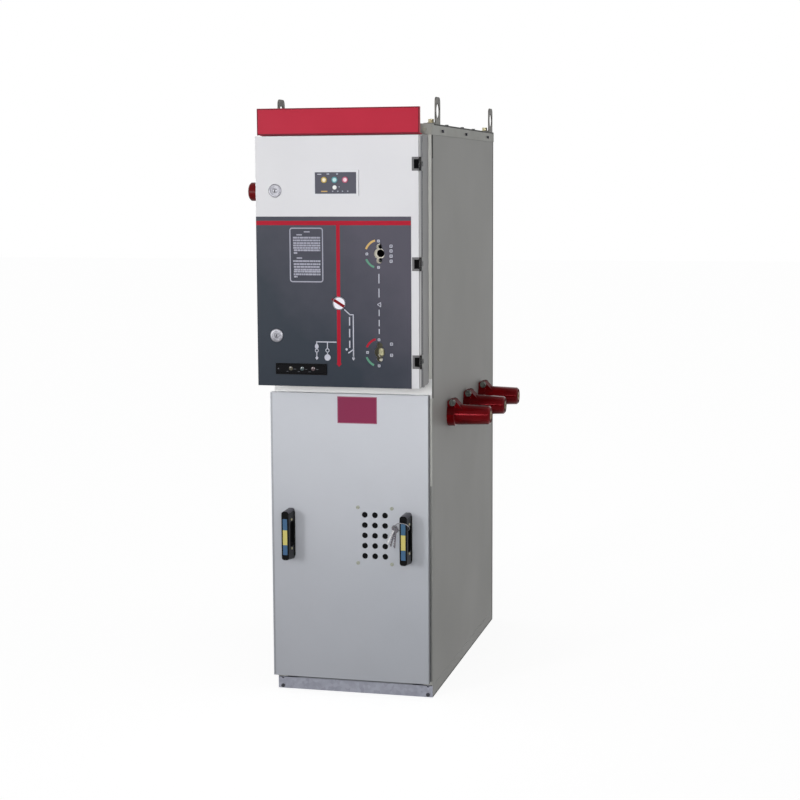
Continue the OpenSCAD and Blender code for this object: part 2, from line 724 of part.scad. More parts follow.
module handle() {
  translate([-handle_w / 2, lower_front_y, 0]) rotate([90, 0, 90]) linear_extrude(handle_w) handle_profile();
  span([-handle_w / 2 - handle_foot, lower_front_y - handle_foot_t, -handle_h / 2],
       [handle_w / 2 + handle_foot, lower_front_y, handle_h / 2]);
}

module handle_left() color(colour_black) translate([handle_x[0], 0, handle_z]) handle();

module handle_right() color(colour_black) translate([handle_x[1], 0, handle_z]) handle();

module handle_screws() color(colour_brass)
  for (x = handle_x, z = handle_screw_z)
    translate([x + handle_w / 2, lower_front_y - handle_screw_out, handle_z + z])
      rotate([0, 90, 0]) screw_head(screw_r, screw_t);

module handle_inserts() color(colour_lens)
  for (x = handle_x) translate([x, lower_front_y - handle_out, handle_z])
    span([-insert_w / 2, -insert_t, -insert_h / 2], [insert_w / 2, 0, insert_h / 2]);

// key that hangs down from the ring, its bow round the wire
module key() {
  rotate([90, 0, 0]) cylinder(h = key_t, r = key_bow_r, center = true);
  span([-key_blade_w / 2, -key_t / 2, -key_bow_r - key_blade_l], [key_blade_w / 2, key_t / 2, -key_bow_r / 2]);
}

module keys() color(colour_steel)
  translate([handle_x[1] - ring_shift, lower_front_y - handle_out + handle_bar / 2, handle_z + ring_up]) {
    rotate([-ring_tilt, 0, 0]) rotate_extrude() translate([ring_r, 0]) circle(r = ring_wire, $fn = 24);
    for (i = [0:2]) {
      y = (i - 1) * 2 * key_t;
      x = sqrt(pow(ring_r, 2) - pow(y / cos(ring_tilt), 2));
      translate([-x, y, -key_drop - y * tan(ring_tilt)])
        rotate([0, key_lean[i], 0]) translate([0, 0, -key_eye]) key();
    }
  }

// ---- bushings ----

module bushing() difference() {
  union() {
    rotate([0, 90, 0]) rotate_extrude()
      polygon([[0, -spigot_l], [spigot_r - tip_bevel, -spigot_l],
               [spigot_r, -spigot_l + tip_bevel], [spigot_r, 0],
               [collar_r, 0], [collar_r, collar_t - collar_edge], [collar_r - collar_edge, collar_t],
               [bushing_root_d / 2, collar_t],
               [bushing_tip_d / 2, bushing_l - tip_bevel], [bushing_tip_d / 2 - tip_bevel, bushing_l],
               [0, bushing_l]]);
    translate([0, ear_w / 2, 0]) rotate([90, 0, 0]) linear_extrude(ear_w)
      polygon([[0, bushing_root_d / 2 - ear_sink], [0, collar_r + ear_rise - ear_bevel],
               [ear_bevel, collar_r + ear_rise], [ear_flat, collar_r + ear_rise],
               [ear_reach, bushing_root_d / 2 - ear_sink]]);
  }
  rod_x(bushing_l - contact_l, bushing_l + eps, contact_r + contact_fit);
}

module bushing_contact() difference() {
  rod_x(bushing_l - contact_l, bushing_l, contact_r);
  rod_x(bushing_l - contact_hole_l, bushing_l + eps, contact_hole_d / 2);
}

module bushing_bolts() for (s = [-1, 1])
  translate([ear_bolt_x, s * ear_w / 2, collar_r + ear_bolt_rise]) rotate([-s * 90, 0, 0])
    bolt_head(bolt_head_r, bolt_head_t, washer_r, washer_t);

module at_right() for (i = [0:2])
  translate([side_x, right_bushing_y + i * bushing_pitch, right_bushing_z]) children();

module at_left() for (i = [0:2])
  translate([-side_x, left_bushing_y + i * bushing_pitch, left_bushing_z]) mirror([1, 0, 0]) children();

module bushings_right() color(colour_epoxy) at_right() bushing();
module bushings_left() color(colour_epoxy) at_left() bushing();
module bushing_contacts_right() color(colour_brass) at_right() bushing_contact();
module bushing_contacts_left() color(colour_brass) at_left() bushing_contact();
module bushing_bolts_right() color(colour_steel) at_right() bushing_bolts();
module bushing_bolts_left() color(colour_steel) at_left() bushing_bolts();

plinth();
plinth_bolts();
floor_plate();
side_panel_left();
side_panel_right();
rear_panel();
rear_panel_screws();
cross_member();
compartment_shelf();
mechanism_plate();
roof();
roof_screws();
lifting_lugs();
lug_bolts();
instrument_box();
header_plate();
upper_door();
mimic_panel();
lamp_unit();
signal_lamps();
display_strip();
upper_door_locks();
hinge_fixed_leaves();
hinge_door_leaves();
position_indicator();
switch_socket();
earthing_socket();
lower_door();
symbol_plate();
vent_screen();
vent_screws();
handle_left();
handle_right();
handle_screws();
handle_inserts();
keys();
bushings_left();
bushings_right();
bushing_contacts_left();
bushing_contacts_right();
bushing_bolts_left();
bushing_bolts_right();
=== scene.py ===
"""Finished look of a gas insulated ring main unit: one free-standing switchgear cubicle.

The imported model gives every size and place. This script refines its pieces, dresses them in procedural
finishes, adds the printed overlay, lamps, keys and other small detail, and sets up a plain studio.
Metres throughout; +X is the cubicle's right side, -Y its front and +Z up.
"""

import logging
import math
import random
from dataclasses import dataclass, field
from enum import Enum
from typing import Callable, Iterable, Sequence

import bmesh
import bpy
from mathutils import Matrix, Vector


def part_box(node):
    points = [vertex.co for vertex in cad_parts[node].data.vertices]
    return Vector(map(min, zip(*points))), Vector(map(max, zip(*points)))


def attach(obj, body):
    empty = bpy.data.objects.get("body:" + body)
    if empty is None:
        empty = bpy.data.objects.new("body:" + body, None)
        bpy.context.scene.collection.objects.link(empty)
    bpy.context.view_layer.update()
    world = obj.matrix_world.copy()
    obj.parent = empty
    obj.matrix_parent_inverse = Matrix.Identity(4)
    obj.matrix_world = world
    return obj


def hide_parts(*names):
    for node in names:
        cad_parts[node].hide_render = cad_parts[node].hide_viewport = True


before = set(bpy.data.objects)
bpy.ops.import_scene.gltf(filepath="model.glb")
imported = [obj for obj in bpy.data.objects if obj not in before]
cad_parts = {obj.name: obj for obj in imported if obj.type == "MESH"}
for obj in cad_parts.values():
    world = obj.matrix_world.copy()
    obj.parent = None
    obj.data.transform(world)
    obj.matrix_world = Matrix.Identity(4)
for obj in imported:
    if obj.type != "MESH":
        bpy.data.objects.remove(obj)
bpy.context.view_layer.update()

log = logging.getLogger("cubicle")
MM = 0.001
FILM = 0.0002  # thickness of a strip laid on a face
LIFT = 0.00002  # gap between a print and the face it is laid on
END_GAP = 0.002  # what a strip leaves free at its ends
FACING = 0.9  # least share of a face's normal along an axis that counts as facing that way
SHEET_EDGE = 0.0008  # widths of rounded edges
PART_EDGE = 0.0006
SCREW_EDGE = 0.0005
THIN_EDGE = 0.0003
DUST_TONE = (150, 146, 138)  # colour of settled dust, 8-bit
COAT_ROUGHNESS = 0.08
Point = tuple[float, float]


def linear(red: int, green: int, blue: int) -> tuple[float, float, float, float]:
    """Turns an 8-bit screen colour into the linear colour that a shader socket takes.

    Args:
        red: Red, 0 to 255.
        green: Green, 0 to 255.
        blue: Blue, 0 to 255.

    Returns:
        Linear red, green, blue and an alpha of 1.
    """

    def channel(value: int) -> float:
        """Returns one channel in linear light."""
        v = value / 255
        return v / 12.92 if v <= 0.04045 else ((v + 0.055) / 1.055) ** 2.4

    return channel(red), channel(green), channel(blue), 1.0


# ---------------------------------------------------------------- finishes


class Effect(Enum):
    """Shader node groups that several finishes share."""

    GRAIN = "surface_grain"
    SPANGLE = "zinc_spangle"
    DUST = "settled_dust"
    # painted light: a slow change of tone across a panel
    PAINTED_LIGHT = "painted_light_gradient"


class Bench:
    """Small helper that adds nodes to a tree and joins them."""

    def __init__(self, tree: bpy.types.NodeTree) -> None:
        """Keeps the tree to work on."""
        self.tree = tree

    def add(self, kind: str, settings: dict | None = None, **sockets: object) -> bpy.types.Node:
        """Adds a node and fills its inputs.

        Args:
            kind: Type of the node.
            settings: Attributes of the node itself.
            **sockets: Inputs by name, with _ for a space; a socket is linked, a value is set.

        Returns:
            The new node.
        """
        node = self.tree.nodes.new(kind)
        for key, value in (settings or {}).items():
            setattr(node, key, value)
        for key, value in sockets.items():
            self.feed(node, key.replace("_", " "), value)
        return node

    def feed(self, node: bpy.types.Node, socket: str | int, value: object) -> None:
        """Links a socket to a node's input, or sets the input to a value.

        Args:
            node: The node that is fed.
            socket: Name or number of its input.
            value: A socket to link, or a plain value.
        """
        if isinstance(value, bpy.types.NodeSocket):
            self.tree.links.new(value, node.inputs[socket])
        else:
            node.inputs[socket].default_value = value

    def math(self, operation: str, a: object, b: object) -> bpy.types.NodeSocket:
        """Adds a Math node.

        Args:
            operation: What it works out.
            a: First input, a socket or a number.
            b: Second input.

        Returns:
            Its output.
        """
        node = self.add("ShaderNodeMath", {"operation": operation})
        self.feed(node, 0, a)
        self.feed(node, 1, b)
        return node.outputs[0]

    def blend(self, factor: object, a: object, b: object) -> bpy.types.NodeSocket:
        """Adds a colour Mix node.

        Args:
            factor: Share of the second colour.
            a: First colour, a socket or a value.
            b: Second colour.

        Returns:
            Its colour output.
        """
        node = self.add("ShaderNodeMix", {"data_type": "RGBA"})
        self.feed(node, 0, factor)
        self.feed(node, 6, a)
        self.feed(node, 7, b)
        return node.outputs[2]

    def ramp(self, value: object, low: float, high: float) -> bpy.types.NodeSocket:
        """Stretches a value from low..high to 0..1, clamped.

        Args:
            value: The socket that gives the value.
            low: What becomes 0.
            high: What becomes 1.

        Returns:
            The stretched value's socket.
        """
        node = self.add("ShaderNodeMapRange", {"clamp": True}, Value=value)
        self.feed(node, "From Min", low)
        self.feed(node, "From Max", high)
        return node.outputs[0]


def new_group(
    name: str, inputs: Iterable[tuple[str, str, object]], outputs: Iterable[tuple[str, str]]
) -> Bench:
    """Makes an empty shader node group with its sockets.

    Args:
        name: The group's name.
        inputs: Name, socket type and default of each input.
        outputs: Name and socket type of each output.

    Returns:
        A bench on the group's tree, with nodes "In" and "Out".
    """
    tree = bpy.data.node_groups.new(name, "ShaderNodeTree")
    for label, kind, default in inputs:
        tree.interface.new_socket(label, in_out="INPUT", socket_type=kind).default_value = default
    for label, kind in outputs:
        tree.interface.new_socket(label, in_out="OUTPUT", socket_type=kind)
    tree.nodes.new("NodeGroupInput").name = "In"
    tree.nodes.new("NodeGroupOutput").name = "Out"
    return Bench(tree)


def build_grain() -> None:
    """Builds the group that gives paint, plastic and brushed metal their patches, grain and sheen."""
    colour, value, vector = "NodeSocketColor", "NodeSocketFloat", "NodeSocketVector"
    bench = new_group(
        Effect.GRAIN.value,
        [("Colour", colour, (0.5, 0.5, 0.5, 1)), ("Patch Colour", colour, (0.4, 0.4, 0.4, 1)),
         ("Patch Scale", value, 4.0), ("Grain Scale", value, 900.0), ("Stretch", vector, (1, 1, 1)),
         ("Roughness", value, 0.5), ("Roughness Spread", value, 0.1)],
        [("Colour", colour), ("Roughness", value), ("Height", value)],
    )
    get = bench.tree.nodes["In"].outputs
    place = bench.add("ShaderNodeTexCoord").outputs["Object"]
    turned = bench.add("ShaderNodeVectorMath", {"operation": "MULTIPLY"})
    bench.feed(turned, 0, place)
    bench.feed(turned, 1, get["Stretch"])
    patches = bench.add("ShaderNodeTexNoise", Vector=place, Scale=get["Patch Scale"], Detail=3.0)
    grain = bench.add("ShaderNodeTexNoise", Vector=turned.outputs[0], Scale=get["Grain Scale"], Detail=2.0)
    patch = bench.ramp(patches.outputs[0], 0.38, 0.66)
    out = bench.tree.nodes["Out"]
    bench.feed(out, "Colour", bench.blend(patch, get["Colour"], get["Patch Colour"]))
    drift = bench.math("SUBTRACT", bench.math("ADD", patches.outputs[0], grain.outputs[0]), 1.0)
    rough = bench.math("ADD", get["Roughness"], bench.math("MULTIPLY", drift, get["Roughness Spread"]))
    bench.feed(out, "Roughness", rough)
    bench.feed(out, "Height", grain.outputs[0])


def build_spangle() -> None:
    """Builds the group that gives dipped zinc its crystal patches."""
    colour, value = "NodeSocketColor", "NodeSocketFloat"
    bench = new_group(
        Effect.SPANGLE.value,
        [("Light", colour, (0.6, 0.6, 0.6, 1)), ("Dark", colour, (0.4, 0.4, 0.4, 1)),
         ("Crystal Scale", value, 60.0), ("Roughness", value, 0.45)],
        [("Colour", colour), ("Roughness", value), ("Height", value)],
    )
    get = bench.tree.nodes["In"].outputs
    place = bench.add("ShaderNodeTexCoord").outputs["Object"]
    bend = bench.add("ShaderNodeTexNoise", Vector=place, Scale=30.0, Detail=4.0)
    moved = bench.add("ShaderNodeVectorMath", {"operation": "MULTIPLY_ADD"})
    bench.feed(moved, 0, bend.outputs["Color"])
    bench.feed(moved, 1, (0.02, 0.02, 0.02))
    bench.feed(moved, 2, place)
    cells = bench.add("ShaderNodeTexVoronoi", Vector=moved.outputs[0], Scale=get["Crystal Scale"])
    tone = bench.add("ShaderNodeSeparateColor", Color=cells.outputs["Color"]).outputs[0]
    cloud = bench.math("MULTIPLY", bench.math("ADD", tone, bend.outputs[0]), 0.5)
    out = bench.tree.nodes["Out"]
    bench.feed(out, "Colour", bench.blend(cloud, get["Dark"], get["Light"]))
    bench.feed(out, "Roughness", bench.math("ADD", get["Roughness"], bench.math("MULTIPLY", tone, 0.14)))
    bench.feed(out, "Height", tone)


def build_dust() -> None:
    """Builds the group that gives the mask of thin dust and hand marks."""
    value = "NodeSocketFloat"
    bench = new_group(
        Effect.DUST.value,
        [("Amount", value, 0.2), ("Scale", value, 9.0), ("Fade Height", value, 0.5)],
        [("Mask", value)],
    )
    get = bench.tree.nodes["In"].outputs
    place = bench.add("ShaderNodeTexCoord").outputs["Object"]
    height = bench.add("ShaderNodeSeparateXYZ", Vector=place).outputs["Z"]
    low = bench.math("SUBTRACT", 1.0, bench.ramp(bench.math("DIVIDE", height, get["Fade Height"]), 0.0, 1.0))
    smears = bench.add("ShaderNodeTexNoise", Vector=place, Scale=get["Scale"], Detail=6.0, Roughness=0.65)
    spots = bench.ramp(smears.outputs[0], 0.48, 0.72)
    both = bench.math("ADD", bench.math("MULTIPLY", low, 0.6), bench.math("MULTIPLY", spots, 0.5))
    bench.feed(bench.tree.nodes["Out"], "Mask", bench.math("MULTIPLY", both, get["Amount"]))


def build_painted_light() -> None:
    """Builds the group that gives the mask of painted light: a slow drift of tone across and up a panel."""
    value, vector = "NodeSocketFloat", "NodeSocketVector"
    bench = new_group(
        Effect.PAINTED_LIGHT.value,
        [("Along", vector, (0.0, 0.0, 1.0)), ("Start", value, 0.0), ("End", value, 1.0),
         ("Cloud", value, 0.2)],
        [("Mask", value)],
    )
    get = bench.tree.nodes["In"].outputs
    place = bench.add("ShaderNodeTexCoord").outputs["Object"]
    dot = bench.add("ShaderNodeVectorMath", {"operation": "DOT_PRODUCT"})
    bench.feed(dot, 0, place)
    bench.feed(dot, 1, get["Along"])
    cloud = bench.add("ShaderNodeTexNoise", Vector=place, Scale=7.0, Detail=4.0)
    stirred = bench.math("MULTIPLY", bench.math("SUBTRACT", cloud.outputs[0], 0.5), get["Cloud"])
    moved = bench.math("ADD", dot.outputs["Value"], stirred)
    node = bench.add("ShaderNodeMapRange", {"clamp": True}, Value=moved)
    bench.feed(node, "From Min", get["Start"])
    bench.feed(node, "From Max", get["End"])
    bench.feed(bench.tree.nodes["Out"], "Mask", node.outputs[0])


@dataclass(frozen=True)
class PaintedLight:
    """Painted light: a slow change of a finish's tone across a panel, standing in for how the light falls on
    it.

    Attributes:
        tone: Colour at the far end, 8-bit.
        along: Direction of the change.
        start: Where along the direction it begins, in metres.
        end: Where it is complete.
        cloud: How far clouds stir it, in metres.
    """

    tone: tuple[int, int, int]
    along: tuple[float, float, float]
    start: float
    end: float
    cloud: float = 0.2


@dataclass(frozen=True)
class Finish:
    """One procedural finish: a paint, plating, plastic or ink.

    Attributes:
        name: Name of the material.
        slot: Material slot of the record that pieces in this finish belong to; not used.
        colour: Main colour, 8-bit.
        patch: Colour of the faint patches, 8-bit.
        roughness: Mean roughness.
        spread: How far the roughness drifts.
        metallic: 1 for bare metal.
        patch_scale: Patches to the metre.
        grain_scale: Grains to the metre.
        stretch: Scale of the grain along each axis, for brushed metal.
        relief: Depth of the grain in metres.
        coat: Weight of a clear coat.
        dust: Amount of dust and hand marks.
        spangle: True for the crystal pattern of dipped zinc.
        specular: Specular level of the surface.
        glint: Colour that the surface gives to what it mirrors, 8-bit.
        drift: Painted light, a slow change of the tone across the panel, if any.
    """

    name: str
    slot: str
    colour: tuple[int, int, int]
    patch: tuple[int, int, int]
    roughness: float = 0.5
    spread: float = 0.12
    metallic: float = 0.0
    patch_scale: float = 3.0
    grain_scale: float = 900.0
    stretch: tuple[float, float, float] = (1.0, 1.0, 1.0)
    relief: float = 0.00003
    coat: float = 0.0
    dust: float = 0.0
    spangle: bool = False
    specular: float = 0.5
    glint: tuple[int, int, int] = (255, 255, 255)
    drift: PaintedLight | None = None

    def material(self) -> bpy.types.Material:
        """Gives the material, and builds it the first time.

        Returns:
            The material of this finish.
        """
        title = "look_" + self.name
        if title in bpy.data.materials:
            return bpy.data.materials[title]
        made = bpy.data.materials.new(title)
        made.use_nodes = True
        bench = Bench(made.node_tree)
        shader = made.node_tree.nodes["Principled BSDF"]
        shader.inputs["Metallic"].default_value = self.metallic
        shader.inputs["Coat Weight"].default_value = self.coat
        shader.inputs["Coat Roughness"].default_value = COAT_ROUGHNESS
        shader.inputs["Specular IOR Level"].default_value = self.specular
        shader.inputs["Specular Tint"].default_value = linear(*self.glint)
        effect = Effect.SPANGLE if self.spangle else Effect.GRAIN
        group = bench.add("ShaderNodeGroup", {"node_tree": bpy.data.node_groups[effect.value]})
        if self.spangle:
            values = {"Light": linear(*self.colour), "Dark": linear(*self.patch),
                      "Crystal Scale": self.patch_scale, "Roughness": self.roughness}
        else:
            values = {"Colour": linear(*self.colour), "Patch Colour": linear(*self.patch),
                      "Patch Scale": self.patch_scale, "Grain Scale": self.grain_scale,
                      "Stretch": self.stretch, "Roughness": self.roughness, "Roughness Spread": self.spread}
        for label, value in values.items():
            group.inputs[label].default_value = value
        colour, rough = group.outputs["Colour"], group.outputs["Roughness"]
        # painted light: the tone changes slowly across the panel
        if self.drift:
            slow = bench.add("ShaderNodeGroup", {"node_tree": bpy.data.node_groups[Effect.PAINTED_LIGHT.value]},
                             Along=self.drift.along, Start=self.drift.start, End=self.drift.end,
                             Cloud=self.drift.cloud)
            colour = bench.blend(slow.outputs["Mask"], colour, linear(*self.drift.tone))
        if self.dust:
            dust = bench.add("ShaderNodeGroup", {"node_tree": bpy.data.node_groups[Effect.DUST.value]},
                             Amount=self.dust)
            mask = dust.outputs["Mask"]
            colour = bench.blend(mask, colour, linear(*DUST_TONE))
            rough = bench.math("ADD", rough, bench.math("MULTIPLY", mask, 0.3))
        bench.feed(shader, "Base Color", colour)
        bench.feed(shader, "Roughness", rough)
        bump = bench.add("ShaderNodeBump", Height=group.outputs["Height"], Strength=1.0, Distance=self.relief)
        bench.feed(shader, "Normal", bump.outputs["Normal"])
        return made


# Cabinet paint, painted darker than the front paint as the shade that falls on the cabinet's sides.
BODY_PAINT_PAINTED_SHADE = Finish("body_paint_painted_shade", "cabinet_paint", (154, 154, 151), (149, 149, 146), 0.52,
                    patch_scale=2.0, dust=0.08)
ROOF_PAINT = Finish("roof_paint", "cabinet_paint", (163, 164, 158), (152, 153, 147), 0.5,
                    patch_scale=6.0, dust=0.1)
FLANGE = Finish("flange_zinc", "cabinet_paint", (210, 210, 205), (198, 198, 192), 0.4)
# Painted shade on the right front flange, where the lower door's shadow falls.
FLANGE_PAINTED_SHADE = Finish("flange_painted_shade", "cabinet_paint", (158, 158, 156), (146, 146, 144), 0.55, specular=0.2)
# Dark joints, and painted shadow under the roof's upper fold.
SEAM_AND_SHADOW = Finish("seam_and_painted_shadow", "cabinet_paint", (50, 50, 48), (42, 42, 40), 0.6, specular=0.15)
SEAM_SOFT = Finish("seam_soft", "cabinet_paint", (114, 114, 112), (104, 104, 102), 0.6, specular=0.2)
SEAL = Finish("seal_rubber", "front_paint", (48, 50, 56), (38, 40, 46), 0.6, specular=0.2)
FRONT_PAINT = Finish("front_paint", "front_paint", (213, 213, 216), (209, 209, 213), 0.46,
                     patch_scale=2.2, dust=0.04, specular=0.4)
# The lower door's cooler paint, with painted light: lighter towards the top, darker towards the foot.
LOW_PAINT = Finish("front_paint_cool_painted_light", "front_paint", (200, 203, 211), (195, 199, 207), 0.5,
                   patch_scale=2.0, dust=0.06, specular=0.4,
                   drift=PaintedLight((211, 214, 221), (0.0, 0.0, 1.0), 0.3, 0.9))
# Painted shade along the lower door's rounded left fold, lighter towards the top as painted light.
LOW_EDGE_PAINTED_SHADE = Finish("low_edge_painted_shade", "front_paint", (170, 173, 180), (165, 168, 175), 0.55, specular=0.3,
                  drift=PaintedLight((186, 189, 195), (0.0, 0.0, 1.0), 0.3, 0.9))
# Painted shade on the lower door's side faces.
LOW_SIDE_PAINTED_SHADE = Finish("low_side_painted_shade", "front_paint", (156, 158, 164), (150, 152, 158), 0.55, specular=0.3)
# Front paint lightened as painted light: on the cross member in the upper door's shade, and as a fold's
# highlight.
FRONT_PAINT_PAINTED_LIGHT = Finish("front_paint_painted_light", "front_paint", (236, 236, 235), (230, 230, 229), 0.45)
# Painted shade beside the painted highlight on the upper door's right side.
SIDE_PAINTED_SHADE = Finish("side_painted_shade", "front_paint", (132, 132, 136), (124, 124, 128), 0.5)
# The box's paint, painted darker than the front paint as the shade on its side.
BOX_PAINT_PAINTED_SHADE = Finish("box_paint", "box_paint", (150, 150, 151), (144, 144, 146), 0.5, dust=0.06)
CRIMSON = Finish("crimson_enamel", "crimson_enamel", (180, 29, 56), (172, 26, 51), 0.42,
                 relief=0.00001, specular=0.15)
CRIMSON_FILM = Finish("crimson_film", "crimson_sticker", (140, 42, 80), (134, 38, 75), 0.32,
                      relief=0.000005, specular=0.2)
# Dark slate overlay, with painted light that makes it lighter towards the upper right.
SLATE = Finish("slate_overlay", "slate_laminate", (41, 49, 60), (37, 45, 56), 0.4, 0.1, grain_scale=1400.0,
               relief=0.00001, patch_scale=2.4, specular=0.16,
               drift=PaintedLight((76, 74, 86), (0.75, 0.0, 0.66), 0.66, 0.98, 0.3))
SLATE_FACE = Finish("slate_face", "bezel_plastic", (66, 67, 80), (61, 62, 75), 0.42,
                    relief=0.000008, specular=0.3)
BEZEL = Finish("bezel_plastic", "bezel_plastic", (214, 215, 219), (208, 209, 214), 0.42, relief=0.00001)
BLACK_PLASTIC = Finish("black_plastic", "black_plastic", (9, 9, 12), (6, 6, 9), 0.4, specular=0.06)
SCREEN_BLACK = Finish("screen_black", "black_plastic", (9, 9, 12), (6, 6, 8), 0.7, specular=0.1)
BLACK_WINDOW = Finish("black_window", "black_plastic", (8, 8, 12), (6, 6, 9), 0.3, 0.05, relief=0.000002,
                      specular=0.06)
HANDLE_BLACK = Finish("handle_black", "handle_plastic", (7, 8, 10), (4, 5, 6), 0.24, grain_scale=1500.0,
                      relief=0.000006, specular=0.1)
# Painted reflection of the light from above on the black handles' upper ends.
HANDLE_PAINTED_REFLECTION = Finish("handle_painted_reflection", "handle_plastic", (74, 71, 80), (62, 59, 68), 0.34, grain_scale=1500.0,
                    relief=0.000006, specular=0.2)
INSERT_BLUE = Finish("insert_blue", "insert_plastic", (64, 104, 152), (42, 92, 122), 0.3, relief=0.000006)
INSERT_YELLOW = Finish("insert_yellow", "insert_plastic", (222, 212, 124), (214, 200, 112), 0.3,
                       relief=0.000006)
IVORY = Finish("ivory_plastic", "ivory_plastic", (236, 232, 218), (226, 219, 200), 0.38)
HINGE_BLACK = Finish("hinge_black", "hinge_black", (17, 17, 18), (12, 12, 13), 0.5, grain_scale=1200.0,
                     relief=0.00003, specular=0.25)
ZINC_SHEET = Finish("zinc_sheet", "aluzinc", (176, 178, 190), (132, 134, 146), 0.44, metallic=0.55,
                    patch_scale=90.0, spangle=True, relief=0.00001)
INNER_ZINC = Finish("inner_zinc", "aluzinc", (170, 172, 178), (140, 142, 150), 0.5, metallic=0.5,
                    patch_scale=70.0, spangle=True, relief=0.00001)
LUG_STEEL = Finish("lug_steel", "lug_steel", (112, 110, 106), (76, 75, 72), 0.5, metallic=0.7,
                   patch_scale=60.0, stretch=(1, 1, 0.2), dust=0.25)
SCREW_ZINC = Finish("screw_zinc", "zinc_screws", (186, 184, 176), (142, 140, 134), 0.32, metallic=0.9,
                    patch_scale=120.0)
DARK_STEEL = Finish("dark_steel", "zinc_screws", (74, 74, 80), (48, 48, 54), 0.34, metallic=0.8,
                    patch_scale=120.0)
BOLT_STEEL = Finish("bolt_steel", "zinc_screws", (102, 105, 100), (60, 62, 60), 0.3, metallic=0.7,
                    patch_scale=160.0)
SCREW_DULL = Finish("screw_dull", "zinc_screws", (172, 175, 162), (146, 149, 136), 0.4, metallic=0.5,
                    patch_scale=160.0)
YELLOW_ZINC = Finish("yellow_zinc", "yellow_zinc", (216, 208, 170), (178, 172, 140), 0.34, metallic=0.7,
                     patch_scale=160.0)
CHROME = Finish("chrome_lock", "chrome_lock", (138, 138, 143), (112, 112, 118), 0.42, 0.08, metallic=0.9,
                patch_scale=90.0, relief=0.000004)
KEY_STEEL = Finish("key_steel", "chrome_lock", (206, 206, 208), (170, 170, 174), 0.26, 0.1, metallic=1.0,
                   patch_scale=140.0, relief=0.000004)
RING_STEEL = Finish("ring_steel", "chrome_lock", (168, 168, 172), (104, 104, 108), 0.3, 0.1, metallic=0.9,
                    patch_scale=140.0, relief=0.000004)
OLIVE_METAL = Finish("olive_metal", "ivory_plastic", (158, 154, 124), (120, 117, 92), 0.3, metallic=0.7,
                     patch_scale=90.0, relief=0.00001)
# Painted shade in holes and recesses.
HOLE_PAINTED_SHADE = Finish("hole_painted_shade", "ivory_plastic", (5, 5, 6), (3, 3, 4), 0.8, specular=0.05)
# Painted shade in the well of the lower socket, round its shaft.
WELL_PAINTED_SHADE = Finish("well_painted_shade", "ivory_plastic", (104, 101, 84), (78, 76, 62), 0.5, specular=0.2)
HINGE_LEAF = Finish("hinge_leaf", "hinge_black", (104, 104, 106), (80, 80, 82), 0.45, specular=0.3)
# Painted shade along the header's folded edges.
HEADER_PAINTED_SHADE = Finish("header_painted_shade", "crimson_enamel", (104, 10, 32), (96, 8, 28), 0.4,
                     relief=0.000003, specular=0.15)
# Key steel painted darker as the shade between the keys.
KEY_PAINTED_SHADE = Finish("key_painted_shade", "chrome_lock", (122, 118, 124), (84, 82, 88), 0.34, 0.1, metallic=0.8,
                  patch_scale=140.0, relief=0.000004)
# Painted shade in a key slot.
KEYHOLE_PAINTED_SHADE = Finish("keyhole_painted_shade", "chrome_lock", (26, 26, 28), (20, 20, 22), 0.6)
RESIN = Finish("cast_resin", "epoxy_resin", (106, 2, 5), (74, 1, 3), 0.14, 0.06, patch_scale=14.0,
               grain_scale=90.0, relief=0.00004, specular=0.5, glint=(255, 92, 104))
RESIN_END = Finish("cast_resin_end", "epoxy_resin", (84, 6, 8), (64, 4, 6), 0.6, specular=0.03)
RESIN_DULL = Finish("cast_resin_dull", "epoxy_resin", (112, 4, 9), (84, 2, 6), 0.34, specular=0.12)
RESIN_MATT = Finish("cast_resin_matt", "epoxy_resin", (96, 4, 8), (70, 2, 5), 0.5, specular=0.05)
BRASS = Finish("contact_brass", "contact_brass", (122, 100, 62), (96, 78, 46), 0.44, metallic=1.0,
               grain_scale=500.0, stretch=(6.0, 1.0, 1.0), relief=0.00001)
INK_WHITE = Finish("ink_white", "slate_laminate", (190, 192, 204), (180, 182, 196), 0.5, relief=0.000003)
INK_PALE = Finish("ink_pale", "slate_laminate", (152, 153, 168), (142, 143, 158), 0.5, relief=0.000003)
INK_GREY = Finish("ink_grey", "slate_laminate", (78, 80, 88), (70, 72, 80), 0.5, relief=0.000003)
INK_RED = Finish("ink_red", "slate_laminate", (172, 20, 46), (164, 17, 41), 0.45, relief=0.000003,
                 specular=0.1)
INK_YELLOW = Finish("ink_yellow", "slate_laminate", (196, 160, 88), (188, 152, 80), 0.45, relief=0.000003)
INK_GREEN = Finish("ink_green", "slate_laminate", (66, 134, 106), (58, 124, 98), 0.45, relief=0.000003)
DISC_WHITE = Finish("disc_white", "indicator_white", (232, 231, 240), (224, 223, 234), 0.3,
                    relief=0.000003)
DISC_RED = Finish("disc_red", "indicator_white", (124, 4, 22), (112, 3, 18), 0.4, relief=0.000003,
                  specular=0.1)
PLATE_EDGE = Finish("plate_edge", "crimson_sticker", (176, 110, 136), (168, 102, 128), 0.35, relief=0.000003)


def lens(name: str, centre: tuple[int, int, int], rim: tuple[int, int, int]) -> Finish:
    """Returns the finish of a coloured lens or its rim."""
    return Finish(name, "lamp_lens", centre, rim, 0.16, 0.05, patch_scale=60.0, relief=0.000003, coat=0.5)


# ---------------------------------------------------------------- shaping


